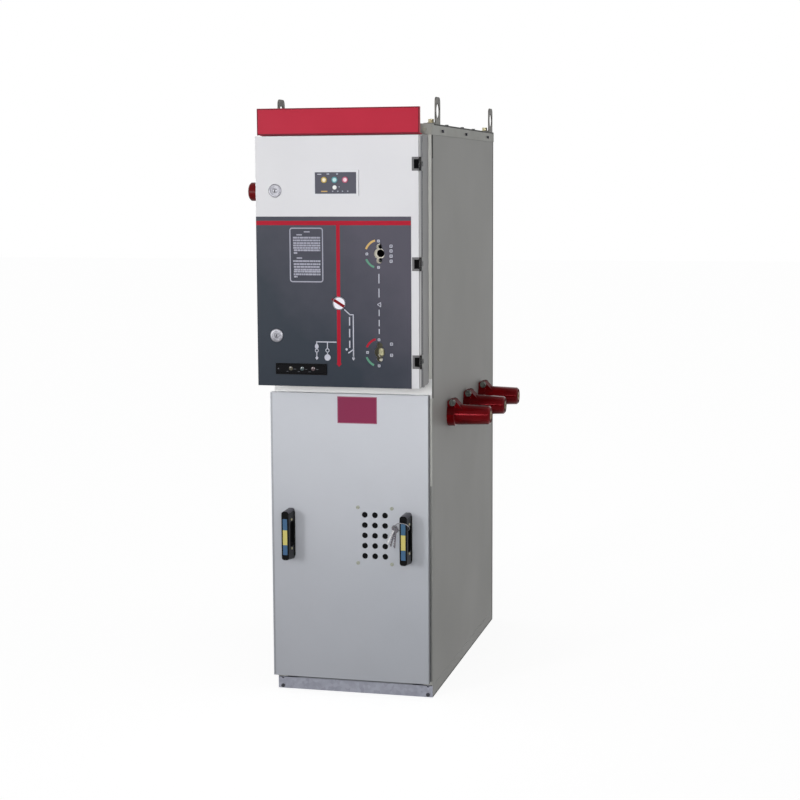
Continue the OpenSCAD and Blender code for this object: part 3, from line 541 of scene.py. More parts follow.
def show(name: str, bm: bmesh.types.BMesh, finish: Finish, body: str) -> bpy.types.Object:
    """Turns a bmesh into a piece of the object.

    Args:
        name: Name of the new piece.
        bm: The shape, in place; it is freed.
        finish: What the piece is dressed in.
        body: CAD body that the piece moves with.

    Returns:
        The new object, at the origin.
    """
    mesh = bpy.data.meshes.new(name)
    bm.to_mesh(mesh)
    bm.free()
    mesh.materials.append(finish.material())
    obj = bpy.data.objects.new(name, mesh)
    bpy.context.scene.collection.objects.link(obj)
    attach(obj, body)
    return obj


def soften(bm: bmesh.types.BMesh, angle: float = 32.0) -> None:
    """Marks all faces smooth and keeps the sharper edges sharp.

    Args:
        bm: The shape.
        angle: Angle over which an edge stays sharp, in degrees.
    """
    limit = math.radians(angle)
    for face in bm.faces:
        face.smooth = True
    for edge in bm.edges:
        edge.smooth = len(edge.link_faces) == 2 and edge.calc_face_angle(0.0) < limit


def close(bm: bmesh.types.BMesh, distance: float = 1e-6) -> None:
    """Merges doubles and turns the faces outwards."""
    bmesh.ops.remove_doubles(bm, verts=bm.verts, dist=distance)
    bmesh.ops.recalc_face_normals(bm, faces=bm.faces)


def merged(node: str) -> bmesh.types.BMesh:
    """Copies a CAD node's mesh, merges its doubles and joins its flat faces.

    Args:
        node: The CAD node.

    Returns:
        The merged copy.
    """
    bm = bmesh.new()
    bm.from_mesh(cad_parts[node].data)
    bmesh.ops.remove_doubles(bm, verts=bm.verts, dist=2e-6)
    bmesh.ops.dissolve_limit(bm, angle_limit=math.radians(0.6), verts=bm.verts, edges=bm.edges)
    return bm


def fine(
    node: str, bm: bmesh.types.BMesh, edge: float, finish: Finish, body: str, segments: int
) -> bpy.types.Object:
    """Shows a refined copy of a CAD node in the node's place, its edges softly rounded.

    Args:
        node: The CAD node.
        bm: The refined copy; it is freed.
        edge: Width of the rounding in metres; 0 leaves the edges.
        finish: What the copy is dressed in.
        body: CAD body of the node.
        segments: Steps in each rounded edge.

    Returns:
        The copy, which stands for the node.
    """
    obj = show("fine_" + node, bm, finish, body)
    if edge:
        bevel = obj.modifiers.new("rounding", "BEVEL")
        bevel.width = edge
        bevel.segments = segments
        bevel.limit_method = "ANGLE"
        bevel.angle_limit = math.radians(40)
        bevel.harden_normals = True
    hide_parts(node)
    return obj


def rounded(node: str, edge: float, finish: Finish, body: str, segments: int = 2) -> bpy.types.Object:
    """Replaces a CAD node by a copy with softly rounded edges.

    Args:
        node: The CAD node.
        edge: Width of the rounding in metres; 0 leaves the edges.
        finish: What the copy is dressed in.
        body: CAD body of the node.
        segments: Steps in each rounded edge.

    Returns:
        The copy, which stands for the node.
    """
    bm = merged(node)
    soften(bm)
    return fine(node, bm, edge, finish, body, segments)


def tint(obj: bpy.types.Object, finish: Finish, pick: Callable[[Vector, Vector], bool]) -> None:
    """Gives some faces of a piece a second finish.

    Args:
        obj: The piece.
        finish: The second finish.
        pick: Tells from a face's centre and normal whether it is one of them.
    """
    obj.data.materials.append(finish.material())
    number = len(obj.data.materials) - 1
    for face in obj.data.polygons:
        if pick(face.center, face.normal):
            face.material_index = number


def dress(node: str, finish: Finish) -> None:
    """Gives a CAD node that stays as it is its finish.

    Args:
        node: The CAD node.
        finish: What it is dressed in.
    """
    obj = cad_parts[node]
    if not obj.material_slots:
        obj.data.materials.append(None)
    for place in obj.material_slots:
        place.material = finish.material()


def turned(
    name: str, centre: Point, face: float, profile: Sequence[Point], finish: Finish, steps: int = 40,
    angle: float = 50.0,
) -> bpy.types.Object:
    """Turns a profile about an axis that points out of the front, as a piece of the upper door.

    Args:
        name: Name of the new piece.
        centre: X and Z of the axis.
        face: Y that the profile's heights are counted from, towards -Y.
        profile: Radius and height of each point, from the middle or back to the end.
        finish: What the piece is dressed in.
        steps: Steps of a full turn.
        angle: Angle over which an edge stays sharp, in degrees.

    Returns:
        The turned piece.
    """
    bm = bmesh.new()
    x, z = centre
    verts = [bm.verts.new((x + radius, face - height, z)) for radius, height in profile]
    edges = [bm.edges.new(pair) for pair in zip(verts, verts[1:])]
    bmesh.ops.spin(bm, geom=[*verts, *edges], cent=(x, face, z), axis=(0, -1, 0), dvec=(0, 0, 0),
                   angle=math.tau, steps=steps, use_merge=True, use_normal_flip=False, use_duplicate=False)
    close(bm)
    soften(bm, angle)
    return show(name, bm, finish, "upper_door")


def block(bm: bmesh.types.BMesh, low: Sequence[float], high: Sequence[float]) -> None:
    """Adds a box between two corners.

    Args:
        bm: Where the box goes.
        low: Its corner with the lowest X, Y and Z.
        high: Its opposite corner.
    """
    centre = [(a + b) / 2 for a, b in zip(low, high)]
    size = [b - a for a, b in zip(low, high)]
    place = Matrix.Translation(centre) @ Matrix.Diagonal((*size, 1))
    bmesh.ops.create_cube(bm, size=1.0, matrix=place)


def round_box(bm: bmesh.types.BMesh, edge: float, segments: int = 2) -> None:
    """Bevels every edge of a bmesh by a width in metres."""
    bmesh.ops.bevel(bm, geom=bm.edges[:], offset=edge, offset_type="OFFSET", affect="EDGES",
                    segments=segments, profile=0.5, material=-1, clamp_overlap=True)


@dataclass
class Print:
    """Flat printed shapes in one ink, laid on a panel that faces the front.

    Attributes:
        left: X of the panel's left edge.
        bottom: Z of the panel's lower edge.
        face: Y of the surface that is printed on.
        thickness: Thickness of the ink.
        bm: The shapes laid down so far.
        arc_step: Degrees that one step of an arc spans.
        arc_least: Least steps of an arc.
    """

    left: float
    bottom: float
    face: float
    thickness: float = 0.00012
    bm: bmesh.types.BMesh = field(default_factory=bmesh.new)
    arc_step: float = 7
    arc_least: int = 6

    def _spot(self, at: Point) -> Vector:
        """Returns the place of a point of the panel that is given in millimetres."""
        return Vector((self.left + at[0] * MM, self.face - LIFT, self.bottom + at[1] * MM))

    def _place(self, at: Point, turn: float = 0.0, size: Point = (1.0, 1.0)) -> Matrix:
        """Works out where a flat unit shape goes.

        Args:
            at: Its middle, in millimetres from the panel's lower left.
            turn: Its turn against the clock, in degrees.
            size: Its scale along both sides, in millimetres.

        Returns:
            The matrix that puts it there.
        """
        upright = Matrix.Rotation(math.radians(90), 4, "X")
        scale = Matrix.Diagonal((size[0] * MM, size[1] * MM, 1, 1))
        spin = Matrix.Rotation(math.radians(turn), 4, "Z")
        return Matrix.Translation(self._spot(at)) @ upright @ spin @ scale

    def rect(self, u0: float, v0: float, u1: float, v1: float) -> None:
        """Adds a rectangle between two corners, in millimetres from the panel's lower left."""
        place = self._place(((u0 + u1) / 2, (v0 + v1) / 2), size=(u1 - u0, v1 - v0))
        bmesh.ops.create_grid(self.bm, x_segments=1, y_segments=1, size=0.5, matrix=place)

    def bar(self, start: Point, end: Point, width: float) -> None:
        """Adds a straight line.

        Args:
            start: One end.
            end: The other end.
            width: Width of the line.
        """
        run = Vector(end) - Vector(start)
        middle = (Vector(start) + Vector(end)) / 2
        place = self._place(tuple(middle), math.degrees(math.atan2(run.y, run.x)), (run.length, width))
        bmesh.ops.create_grid(self.bm, x_segments=1, y_segments=1, size=0.5, matrix=place)

    def disc(self, at: Point, radius: float, tall: float | None = None, corners: int = 32) -> None:
        """Adds a filled circle, an oval if tall is given, or a diamond with four corners."""
        place = self._place(at, size=(radius, tall or radius))
        bmesh.ops.create_circle(self.bm, cap_ends=True, segments=corners, radius=1.0, matrix=place)

    def head(self, top: Point, width: float, height: float) -> None:
        """Adds an arrow head that points down.

        Args:
            top: Middle of its upper edge.
            width: Width of that edge.
            height: From the edge to the tip.
        """
        size = (width / math.sqrt(3), height / 1.5)
        place = self._place((top[0], top[1] - size[1] / 2), 180, size)
        bmesh.ops.create_circle(self.bm, cap_ends=True, segments=3, radius=1.0, matrix=place)

    def arc(self, at: Point, radius: float, width: float, start: float = 0.0, end: float = 360.0) -> None:
        """Adds a ring, or a part of one.

        Args:
            at: Its middle.
            radius: Radius of the middle of the stroke.
            width: Width of the stroke.
            start: Where it starts, in degrees from the right, against the clock.
            end: Where it ends.
        """
        centre = self._spot(at)
        a = math.radians(start)
        ray = Vector((math.cos(a), 0, math.sin(a)))
        verts = [self.bm.verts.new(centre + ray * (radius + s * width / 2) * MM) for s in (-1, 1)]
        edge = self.bm.edges.new(verts)
        span = end - start
        steps = max(self.arc_least, int(span / self.arc_step))
        bmesh.ops.spin(self.bm, geom=[*verts, edge], cent=centre, axis=(0, -1, 0), dvec=(0, 0, 0),
                       angle=math.radians(span), steps=steps, use_merge=span >= 360, use_normal_flip=False,
                       use_duplicate=False)

    def outline(self, u0: float, v0: float, u1: float, v1: float, width: float, corner: float) -> None:
        """Adds the outline of a rectangle with rounded corners.

        Args:
            u0: Left side, in the middle of the stroke.
            v0: Lower side.
            u1: Right side.
            v1: Upper side.
            width: Width of the stroke.
            corner: Radius of the corners.
        """
        h = width / 2
        for v in (v0, v1):
            self.rect(u0 + corner, v - h, u1 - corner, v + h)
        for u in (u0, u1):
            self.rect(u - h, v0 + corner, u + h, v1 - corner)
        for u, v, start in ((u1 - corner, v1 - corner, 0), (u0 + corner, v1 - corner, 90),
                            (u0 + corner, v0 + corner, 180), (u1 - corner, v0 + corner, 270)):
            self.arc((u, v), corner, width, start, start + 90)

    def finish(self, name: str, ink: Finish, body: str) -> bpy.types.Object:
        """Gives the flat shapes their thickness and shows them.

        Args:
            name: Name of the piece.
            ink: The ink.
            body: CAD body that carries the panel.

        Returns:
            The printed piece.
        """
        bmesh.ops.remove_doubles(self.bm, verts=self.bm.verts, dist=1e-7)
        grown = bmesh.ops.extrude_face_region(self.bm, geom=self.bm.faces[:])["geom"]
        bmesh.ops.translate(self.bm, verts=[g for g in grown if isinstance(g, bmesh.types.BMVert)],
                            vec=(0, -self.thickness, 0))
        bmesh.ops.recalc_face_normals(self.bm, faces=self.bm.faces)
        return show(name, self.bm, ink, body)


# ---------------------------------------------------------------- sub-assemblies


@dataclass
class Cubicle:
    """Plinth, panels, roof and lifting lugs.

    Attributes:
        bolt_edge: Rounding of the plinth bolts' edges.
        roof_edge: Rounding of the roof's folds.
        flange: Depth that takes in the front flanges of the side panels.
        seam: Width of the joint at the front of the right side.
        rear_seam: Width of the joints at the rear, and at the front of the left side.
        foot_line: Height of the dark line along the foot of each side.
        foot_gap: What that line leaves free at its foot.
        lid_shadow: Height of the painted shadow under the roof's upper fold.
        lid_shadow_start: Where that painted shadow begins behind the roof's front.
        dark_seam: How far the right side's joint stays dark below the roof.
        lid_reach: How far it runs up over the roof's skirt.
        fold: Width of a fold that a joint leaves free.
        lid_end: Where the painted shadow under the roof's fold ends before the roof's rear.
        flange_shade_width: Width of the painted shade on the right front flange.
        flange_shade_foot: Height at which that strip begins.
        flange_shade_head: Height at which it ends.
        edge_gap: What the painted shade on the flange and the painted shadow under the fold leave free at the
            edge.
    """

    bolt_edge: float = 0.0004
    roof_edge: float = 0.0004
    flange: float = 0.002
    seam: float = 0.022
    rear_seam: float = 0.014
    foot_line: float = 0.004
    foot_gap: float = 0.0004
    lid_shadow: float = 0.0045
    lid_shadow_start: float = 0.03
    dark_seam: float = 0.07
    lid_reach: float = 0.03
    fold: float = 0.0008
    lid_end: float = 0.01
    flange_shade_width: float = 0.0066
    flange_shade_foot: float = 0.05
    flange_shade_head: float = 0.66
    edge_gap: float = 0.0006

    def build(self) -> None:
        """Dresses the standing cabinet."""
        body = "cubicle"
        plinth = rounded("plinth", SHEET_EDGE, ZINC_SHEET, body)
        # the plinth's sides in the body paint that is painted darker as shade
        tint(plinth, BODY_PAINT_PAINTED_SHADE, lambda centre, normal: abs(normal.x) > FACING)
        rounded("plinth_bolts", self.bolt_edge, DARK_STEEL, body)
        for node in ("floor_plate", "compartment_shelf", "mechanism_plate"):
            dress(node, INNER_ZINC)
        # rear and sides in the body paint that is painted darker as shade
        rounded("rear_panel", SHEET_EDGE, BODY_PAINT_PAINTED_SHADE, body)
        for node in ("side_panel_left", "side_panel_right"):
            panel = rounded(node, SHEET_EDGE, BODY_PAINT_PAINTED_SHADE, body)
            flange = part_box(node)[0].y + self.flange
            tint(panel, FLANGE, lambda centre, normal, y=flange: normal.y < -FACING and centre.y < y)
        self._seams()
        # painted light: the cross member lightened where the upper door shades it
        rounded("cross_member", PART_EDGE, FRONT_PAINT_PAINTED_LIGHT, body)
        rounded("roof", self.roof_edge, ROOF_PAINT, body)
        rounded("rear_panel_screws", THIN_EDGE, SCREW_ZINC, body)
        screws = rounded("roof_screws", SCREW_EDGE, DARK_STEEL, body)
        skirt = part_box("roof")[0].y
        tint(screws, SCREW_DULL, lambda centre, normal: centre.y < skirt and normal.y < -FACING)
        rounded("lifting_lugs", SHEET_EDGE, LUG_STEEL, body)
        rounded("lug_bolts", PART_EDGE, YELLOW_ZINC, body)
        log.info("cubicle: panels, roof, plinth and lugs")

    def _seams(self) -> None:
        """Lays dark joints on both sides, painted shadow under the roof's fold and painted shade on the
        flange.
        """
        left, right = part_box("side_panel_left")[0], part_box("side_panel_right")[1]
        roof_lo, roof_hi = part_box("roof")
        foot, front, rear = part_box("plinth")[0].z, left.y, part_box("rear_panel")[1].y
        shelf, foot_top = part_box("cross_member")[0].z, foot + self.foot_line
        dark, soft, painted_shade = bmesh.new(), bmesh.new(), bmesh.new()
        sides = ((left.x, -1, self.rear_seam, 0.0), (right.x, 1, self.seam, self.dark_seam))
        for x, out, width, drop in sides:
            near, far = front + self.fold, front + width
            if drop:
                self._strip(dark, x, out, (near, far), (roof_lo.z - drop, roof_lo.z + self.lid_reach))
            self._strip(soft, x, out, (near, far), (shelf, roof_lo.z - drop))
            # a dark line along the foot of each side
            self._strip(dark, x, out, (front + END_GAP, rear - END_GAP),
                        (foot + self.foot_gap, foot_top))
            self._strip(soft, x, out, (rear - self.rear_seam, rear - self.fold), (foot_top, roof_lo.z))
        # painted shadow under the roof's upper fold, on both sides
        for x, out in ((roof_lo.x, -1), (roof_hi.x, 1)):
            self._strip(dark, x, out, (roof_lo.y + self.lid_shadow_start, roof_hi.y - self.lid_end),
                        (roof_hi.z - self.lid_shadow, roof_hi.z - self.edge_gap))
        # painted shade on the right front flange beside the lower door
        block(painted_shade, (right.x - self.flange_shade_width, front - FILM, self.flange_shade_foot),
              (right.x - self.edge_gap, front, self.flange_shade_head))
        show("flange_shade", painted_shade, FLANGE_PAINTED_SHADE, "cubicle")
        show("side_seams_and_painted_shadow", dark, SEAM_AND_SHADOW, "cubicle")
        show("rear_seams", soft, SEAM_SOFT, "cubicle")

    def _strip(self, bm: bmesh.types.BMesh, x: float, out: int, depth: Point, height: Point) -> None:
        """Adds a thin strip on a face at x that looks along +X (out is 1) or -X (out is -1)."""
        near, far = sorted((x, x + out * FILM))
        block(bm, (near, depth[0], height[0]), (far, depth[1], height[1]))


@dataclass
class InstrumentBox:
    """Box between the cabinet and the upper door, with its header and hinge leaves.

    Attributes:
        edge: Rounding of the box's edges.
        header_inset: From the header's outline to its painted shade, in millimetres.
        header_painted_shade: Where the painted shade ends at the top and the sides, in millimetres.
        header_foot: Where it ends at the foot, in millimetres.
        leaf: Depth of the hinge leaves that shows dark.
        lever_r: Radius that takes in the lever hole of the upper socket.
        pin_r: Radius that takes in a pin hole beside it.
        pin_up: From the lever hole up or down to a pin hole.
        shaft_lead: How far the shaft of the lower socket stands before its plate.
        margin: How far from a plane a face counts as before or behind it.
    """

    edge: float = 0.0007
    header_inset: float = 0.6
    header_painted_shade: float = 3.4
    header_foot: float = 5.0
    leaf: float = 0.0072
    lever_r: float = 0.0112
    pin_r: float = 0.0067
    pin_up: float = 0.02
    shaft_lead: float = 0.004
    margin: float = 0.0005

    def build(self) -> None:
        """Dresses the box, the header plate and the hinge leaves on the box."""
        body = "cubicle"
        # the box in paint that is painted darker as shade
        rounded("instrument_box", self.edge, BOX_PAINT_PAINTED_SHADE, body)
        rounded("header_plate", PART_EDGE, CRIMSON, body)
        self._header_painted_shade()
        # fixed leaves in the box paint that is painted darker as shade
        leaves = rounded("hinge_fixed_leaves", THIN_EDGE, BOX_PAINT_PAINTED_SHADE, body)
        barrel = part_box("hinge_fixed_leaves")[0].y + self.leaf
        tint(leaves, HINGE_BLACK, lambda centre, normal: centre.y < barrel)
        self._sockets()
        log.info("instrument box: header, hinges and sockets")

    def _header_painted_shade(self) -> None:
        """Prints painted shade along the header's edges."""
        low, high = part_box("header_plate")
        width, height = (high.x - low.x) / MM, (high.z - low.z) / MM
        ink = Print(low.x, low.z, low.y)
        inset, wide, foot = self.header_inset, self.header_painted_shade, self.header_foot
        ink.rect(inset, inset, width - inset, foot)
        ink.rect(inset, height - wide, width - inset, height - inset)
        for u in (inset, width - wide):
            ink.rect(u, foot, u + wide - inset, height - wide)
        ink.finish("header_painted_shade", HEADER_PAINTED_SHADE, "cubicle")

    def _sockets(self) -> None:
        """Dresses both sockets: painted shade in the holes of the upper one, a bare shaft in the lower one's
        shaded well.
        """
        body = "cubicle"
        low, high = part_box("switch_socket")
        x, z = (low.x + high.x) / 2, (low.z + high.z) / 2
        holes = ((0.0, self.lever_r), (-self.pin_up, self.pin_r), (self.pin_up, self.pin_r))

        def in_hole(centre: Vector, normal: Vector) -> bool:
            """Tells the walls and floors of the three holes, whichever way they face."""
            inside = (math.hypot(centre.x - x, centre.z - z - up) < radius for up, radius in holes)
            return centre.y > low.y + self.margin and any(inside)

        # painted shade on the holes' walls and floors
        tint(rounded("switch_socket", PART_EDGE, IVORY, body), HOLE_PAINTED_SHADE, in_hole)
        low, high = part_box("earthing_socket")
        front = low.y + self.shaft_lead
        # painted shade: the socket's well is darkened round the bare shaft
        earth = rounded("earthing_socket", PART_EDGE, WELL_PAINTED_SHADE, body)
        tint(earth, OLIVE_METAL, lambda centre, normal: centre.y < front - self.margin)
        lip = Print((low.x + high.x) / 2, (low.z + high.z) / 2, front, 0.0004)
        lip.disc((0, -24.5), 7.0, 4.2)
        lip.bar((-9.5, -8), (-5.5, -15), 1.8)
        lip.finish("earthing_lip", IVORY, body)


@dataclass
class Overlay:
    """Everything printed on the operating panel, in millimetres from its lower left corner.

    Attributes:
        band: Lower and upper edge of the red band across the panel.
        busbar_u: Left and right edge of the red busbar line.
        busbar_end: Height at which the busbar line turns into its arrow head.
        arrow: Width and height of the arrow head.
        disc_v: Height of the position indicator's middle.
        disc_gap: From that middle to the ends of the busbar line.
        tab: Length and width of the red tab beside the indicator.
        tab_turn: Direction of the tab from the indicator, in degrees.
        ring: Radius and width of the dark ring round the indicator.
        dial_u: Middle of both dials, from the left.
        switch_v: Height of the upper dial.
        earthing_v: Height of the lower dial.
        dial_radius: Radius of the dials.
        dial_stroke: Width of their coloured sectors.
        yellow_sector: Start and end of the upper dial's open sector, in degrees.
        red_sector: Start and end of the lower dial's closed sector.
        green_sectors: Start and end of the safe sectors of the upper and the lower dial.
        notes: Outline of the notes: left, bottom, right and top.
        note_rows: Heights of the rows in the upper group.
        note_rows_lower: Heights of the rows in the lower group.
    """

    band: Point = (478.8, 491.6)
    busbar_u: Point = (247, 258)
    busbar_end: float = 70
    arrow: Point = (17.0, 9.5)
    disc_v: float = 249
    disc_gap: float = 19.6
    tab: Point = (4.5, 5.6)
    tab_turn: float = 148
    ring: Point = (20.4, 2.6)
    dial_u: float = 376
    switch_v: float = 395
    earthing_v: float = 105
    dial_radius: float = 41
    dial_stroke: float = 6
    yellow_sector: Point = (106, 160)
    red_sector: Point = (106, 158)
    green_sectors: tuple[Point, Point] = ((202, 250), (200, 246))
    notes: tuple[float, float, float, float] = (105, 312, 205, 470)
    note_rows: tuple[float, ...] = (442, 434, 426, 419, 412, 405, 397)
    note_rows_lower: tuple[float, ...] = (373, 364, 356, 348, 342, 334, 327)

    def build(self) -> None:
        """Prints the panel ink by ink."""
        low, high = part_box("mimic_panel")
        where = (low.x, low.z, low.y)
        body = "upper_door"
        self._red(Print(*where), (high.x - low.x) / MM).finish("print_red", INK_RED, body)
        self._white(Print(*where)).finish("print_white", INK_WHITE, body)
        self._notes(Print(*where)).finish("print_notes", INK_PALE, body)
        disc = Vector((sum(self.busbar_u) / 2, self.disc_v))
        turn = math.radians(self.tab_turn)
        ray = Vector((math.cos(turn), math.sin(turn)))
        tab = Print(*where)
        length, width = self.tab
        start, end = disc + ray * self.disc_gap, disc + ray * (self.disc_gap + length)
        tab.bar(tuple(start), tuple(end), width)
        tab.finish("print_tab", DISC_RED, body)
        ring = Print(low.x, low.z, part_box("upper_door")[0].y)
        ring.arc(tuple(disc), *self.ring)
        ring.finish("print_ring", SLATE, body)
        yellow, green = Print(*where), Print(*where)
        self._sector(yellow, self.switch_v, self.yellow_sector)
        for v, sector in zip((self.switch_v, self.earthing_v), self.green_sectors):
            self._sector(green, v, sector)
        yellow.finish("print_yellow", INK_YELLOW, body)
        green.finish("print_green", INK_GREEN, body)
        log.info("operating panel: printed overlay")

    def _sector(self, ink: Print, v: float, sector: Point) -> None:
        """Adds a coloured sector of the dial at a height."""
        ink.arc((self.dial_u, v), self.dial_radius, self.dial_stroke, *sector)

    def _red(self, ink: Print, width: float) -> Print:
        """Adds the band, the busbar line and the closed sector of the lower dial.

        Args:
            ink: Where the shapes go.
            width: Width of the panel in millimetres.

        Returns:
            The same print.
        """
        u0, u1 = self.busbar_u
        ink.rect(0.4, self.band[0], width - 0.4, self.band[1])
        ink.rect(u0, self.disc_v + self.disc_gap, u1, self.band[0])
        ink.rect(u0, self.busbar_end, u1, self.disc_v - self.disc_gap)
        ink.head(((u0 + u1) / 2, self.busbar_end), *self.arrow)
        self._sector(ink, self.earthing_v, self.red_sector)
        return ink

    def _white(self, ink: Print) -> Print:
        """Adds the circuit lines, symbols and dial marks.

        Args:
            ink: Where the shapes go.

        Returns:
            The same print.
        """
        self._earthing_switch(ink)
        self._indication(ink)
        self._interlock(ink)
        for v in (self.switch_v, self.earthing_v):
            for du, dv in ((-1, 38), (-36, 0), (-1, -39)):
                self._mark(ink, (self.dial_u + du, v + dv))
        for v in (418, 404, 389, 374, 131, 98):
            self._mark(ink, (413, v), 7.0)
        return ink

    def _mark(self, ink: Print, at: Point, size: float = 6.0) -> None:
        """Adds a small square mark with a bar in it.

        Args:
            ink: Where the mark goes.
            at: Its middle.
            size: Its width and height.
        """
        h = size / 2
        ink.outline(at[0] - h, at[1] - h, at[0] + h, at[1] + h, 1.7, 0.9)
        ink.rect(at[0] - h / 2.2, at[1] - 0.8, at[0] + h / 2.2, at[1] + 0.8)

    def _earthing_switch(self, ink: Print) -> None:
        """Adds the branch with the earthing switch, at the right of the busbar.

        Args:
            ink: Where the shapes go.
        """
        for start, end in (((270, 231), (287, 216)), ((286, 216), (298, 216)), ((297, 217), (297, 88))):
            ink.bar(start, end, 3.2)
        ink.disc((297, 87), 4.5, 7, corners=4)
        for low, high in ((184, 209), (149, 174), (118, 139)):
            ink.rect(284, low, 287.5, high)
        ink.disc((276, 113), 3.4)
        ink.bar((281, 102), (297, 113), 3.2)

    def _indication(self, ink: Print) -> None:
        """Adds the branch with the voltage indication, at the left of the busbar.

        Args:
            ink: Where the shapes go.
        """
        ink.rect(184, 132.5, 245, 135.5)
        ink.rect(182.5, 126, 185.5, 135.5)
        ink.disc((184, 120), 5.6, 8)
        ink.arc((184, 108), 4.6, 2.2)
        ink.rect(182.6, 90, 185.4, 104)
        ink.disc((184, 86), 5, 6, corners=4)
        ink.rect(215.5, 114, 218.5, 133)
        ink.arc((217, 109), 5.0, 2.4)
        ink.rect(215.6, 96, 218.4, 105)
        ink.disc((217, 88), 9.5)

    def _interlock(self, ink: Print) -> None:
        """Adds the broken line between the dials, with its small triangle.

        Args:
            ink: Where the shapes go.
        """
        for low, high in ((309, 337), (268, 294), (213, 232), (183, 202), (160, 175)):
            ink.rect(self.dial_u - 1.4, low, self.dial_u + 1.4, high)
        tip, top, foot = (self.dial_u - 5, 247), (self.dial_u + 5, 253), (self.dial_u + 5, 240)
        for start, end in ((tip, top), (top, foot), (foot, tip)):
            ink.bar(start, end, 1.8)

    def _notes(self, ink: Print) -> Print:
        """Adds the framed block of rows, as plain short bars.

        Args:
            ink: Where the bars go.

        Returns:
            The same print.
        """
        ink.outline(*self.notes, 3.4, 7.0)
        ink.rect(148, 457.5, 166, 461)
        for rows, head in ((self.note_rows, 450.5), (self.note_rows_lower, 382)):
            ink.rect(125, head - 1.8, 142, head + 1.8)
            for number, v in enumerate(rows):
                last = number == len(rows) - 1
                self._row(ink, v, (114, 127 if last else 198), number + int(head))
        return ink

    def _row(self, ink: Print, v: float, ends: Point, seed: int) -> None:
        """Adds one row of short bars.

        Args:
            ink: Where the bars go.
            v: Height of the row's middle.
            ends: Left and right end of the row.
            seed: Seed of the bars' lengths.
        """
        dice = random.Random(seed)
        start, end = ends
        u = start + dice.uniform(0, 3)
        while u < end - 2:
            length = min(dice.uniform(4, 13), end - u)
            ink.rect(u, v - 2.6, u + length, v + 2.6)
            u += length + dice.uniform(0.7, 1.3)


@dataclass
class LampUnit:
    """Signal lamps in their frame on the upper door.

    Attributes:
        lamp_r: Radius of a lamp with its rim.
        pitch: From lamp to lamp.
        button_r: Radius of the test button.
        face: Width and height of the slate face in the frame.
        colours: Name, lens colour and rim colour of each lamp, 8-bit; the lens colour is the lamp's tint
            lightened as a painted highlight.
        button: Radius and height of the points of the button's profile.
        face_inset: What the slate face leaves free in the frame, in millimetres.
        marks: Place from the button and width of each pale mark on the face, in millimetres.
        mark_half: Half the height of a mark.
        gold: Left, foot, right and top of the yellow mark; the sides count from the button.
        ink_depth: Thickness of the marks.
    """

    lamp_r: float = 0.009
    pitch: float = 0.032
    button_r: float = 0.0063
    face: Point = (0.126, 0.063)
    colours: tuple[tuple[str, tuple[int, int, int], tuple[int, int, int]], ...] = (
        ("amber", (228, 216, 186), (190, 164, 76)),
        ("teal", (180, 216, 220), (84, 152, 160)),
        ("rose", (232, 196, 208), (190, 88, 118)),
    )
    button: tuple[Point, ...] = (
        (0, 0.0024), (0.004, 0.0022), (0.0058, 0.0014), (0.0063, 0.0006), (0.0063, 0),
    )
    face_inset: float = 0.3
    marks: tuple[tuple[float, float, float], ...] = (
        (-46, 57, 12), (-20, 57.5, 8), (8, 57.5, 6), (-6, 7.5, 4), (10, 7.5, 3.4), (24, 7.5, 3.4),
        (40, 7.5, 3.4), (14, 20, 2.6),
    )
    mark_half: float = 1.2
    gold: tuple[float, float, float, float] = (-41, 5.4, -22, 8.6)
    ink_depth: float = 0.0001

    def build(self) -> None:
        """Builds the lamps, the slate face and its marks."""
        rounded("lamp_unit", PART_EDGE, BEZEL, "upper_door")
        low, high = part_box("signal_lamps")
        seat, r, rise = high.y, self.lamp_r, high.y - low.y
        first, row = low.x + r, high.z - r
        lens_profile = [(0, rise * 0.82), (r * 0.3, rise * 0.78), (r * 0.52, rise * 0.66),
                        (r * 0.64, rise * 0.5), (r * 0.64, 0)]
        rim_profile = [(r * 0.66, 0), (r * 0.66, rise * 0.7), (r * 0.78, rise), (r * 0.93, rise * 0.9),
                       (r, rise * 0.6), (r, 0), (r * 0.66, 0)]
        for number, (name, pale, deep) in enumerate(self.colours):
            centre = (first + number * self.pitch, row)
            # pale lens: the lamp's tint lightened as a painted highlight
            tone, rim_tone = lens("lens_" + name, pale, pale), lens("rim_" + name, deep, deep)
            turned("lamp_lens_" + name, centre, seat, lens_profile, tone)
            turned("lamp_rim_" + name, centre, seat, rim_profile, rim_tone)
        middle = first + self.pitch
        turned("lamp_test_button", (middle, low.z + self.button_r), seat, self.button,
               lens("button_white", (240, 240, 238), (232, 232, 230)))
        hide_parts("signal_lamps")
        self._face(seat, middle)
        log.info("lamp unit: three lamps and a button")

    def _face(self, seat: float, middle: float) -> None:
        """Adds the slate face in the frame and the small marks on it.

        Args:
            seat: Y of the surface that the face lies on.
            middle: X of the test button.
        """
        low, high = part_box("lamp_unit")
        wide, tall = self.face
        left, bottom = (low.x + high.x) / 2 - wide / 2, (low.z + high.z) / 2 - tall / 2
        sheet = Print(left, bottom, seat, FILM)
        inset = self.face_inset
        sheet.rect(inset, inset, wide / MM - inset, tall / MM - inset)
        sheet.finish("lamp_face", SLATE_FACE, "upper_door")
        surface, button, half = seat - FILM - LIFT, (middle - left) / MM, self.mark_half
        pale = Print(left, bottom, surface, self.ink_depth)
        for u, v, width in self.marks:
            pale.rect(button + u - width / 2, v - half, button + u + width / 2, v + half)
        pale.finish("lamp_face_marks", INK_WHITE, "upper_door")
        gold = Print(left, bottom, surface, self.ink_depth)
        u0, v0, u1, v1 = self.gold
        gold.rect(button + u0, v0, button + u1, v1)
        gold.finish("lamp_face_gold", INK_YELLOW, "upper_door")


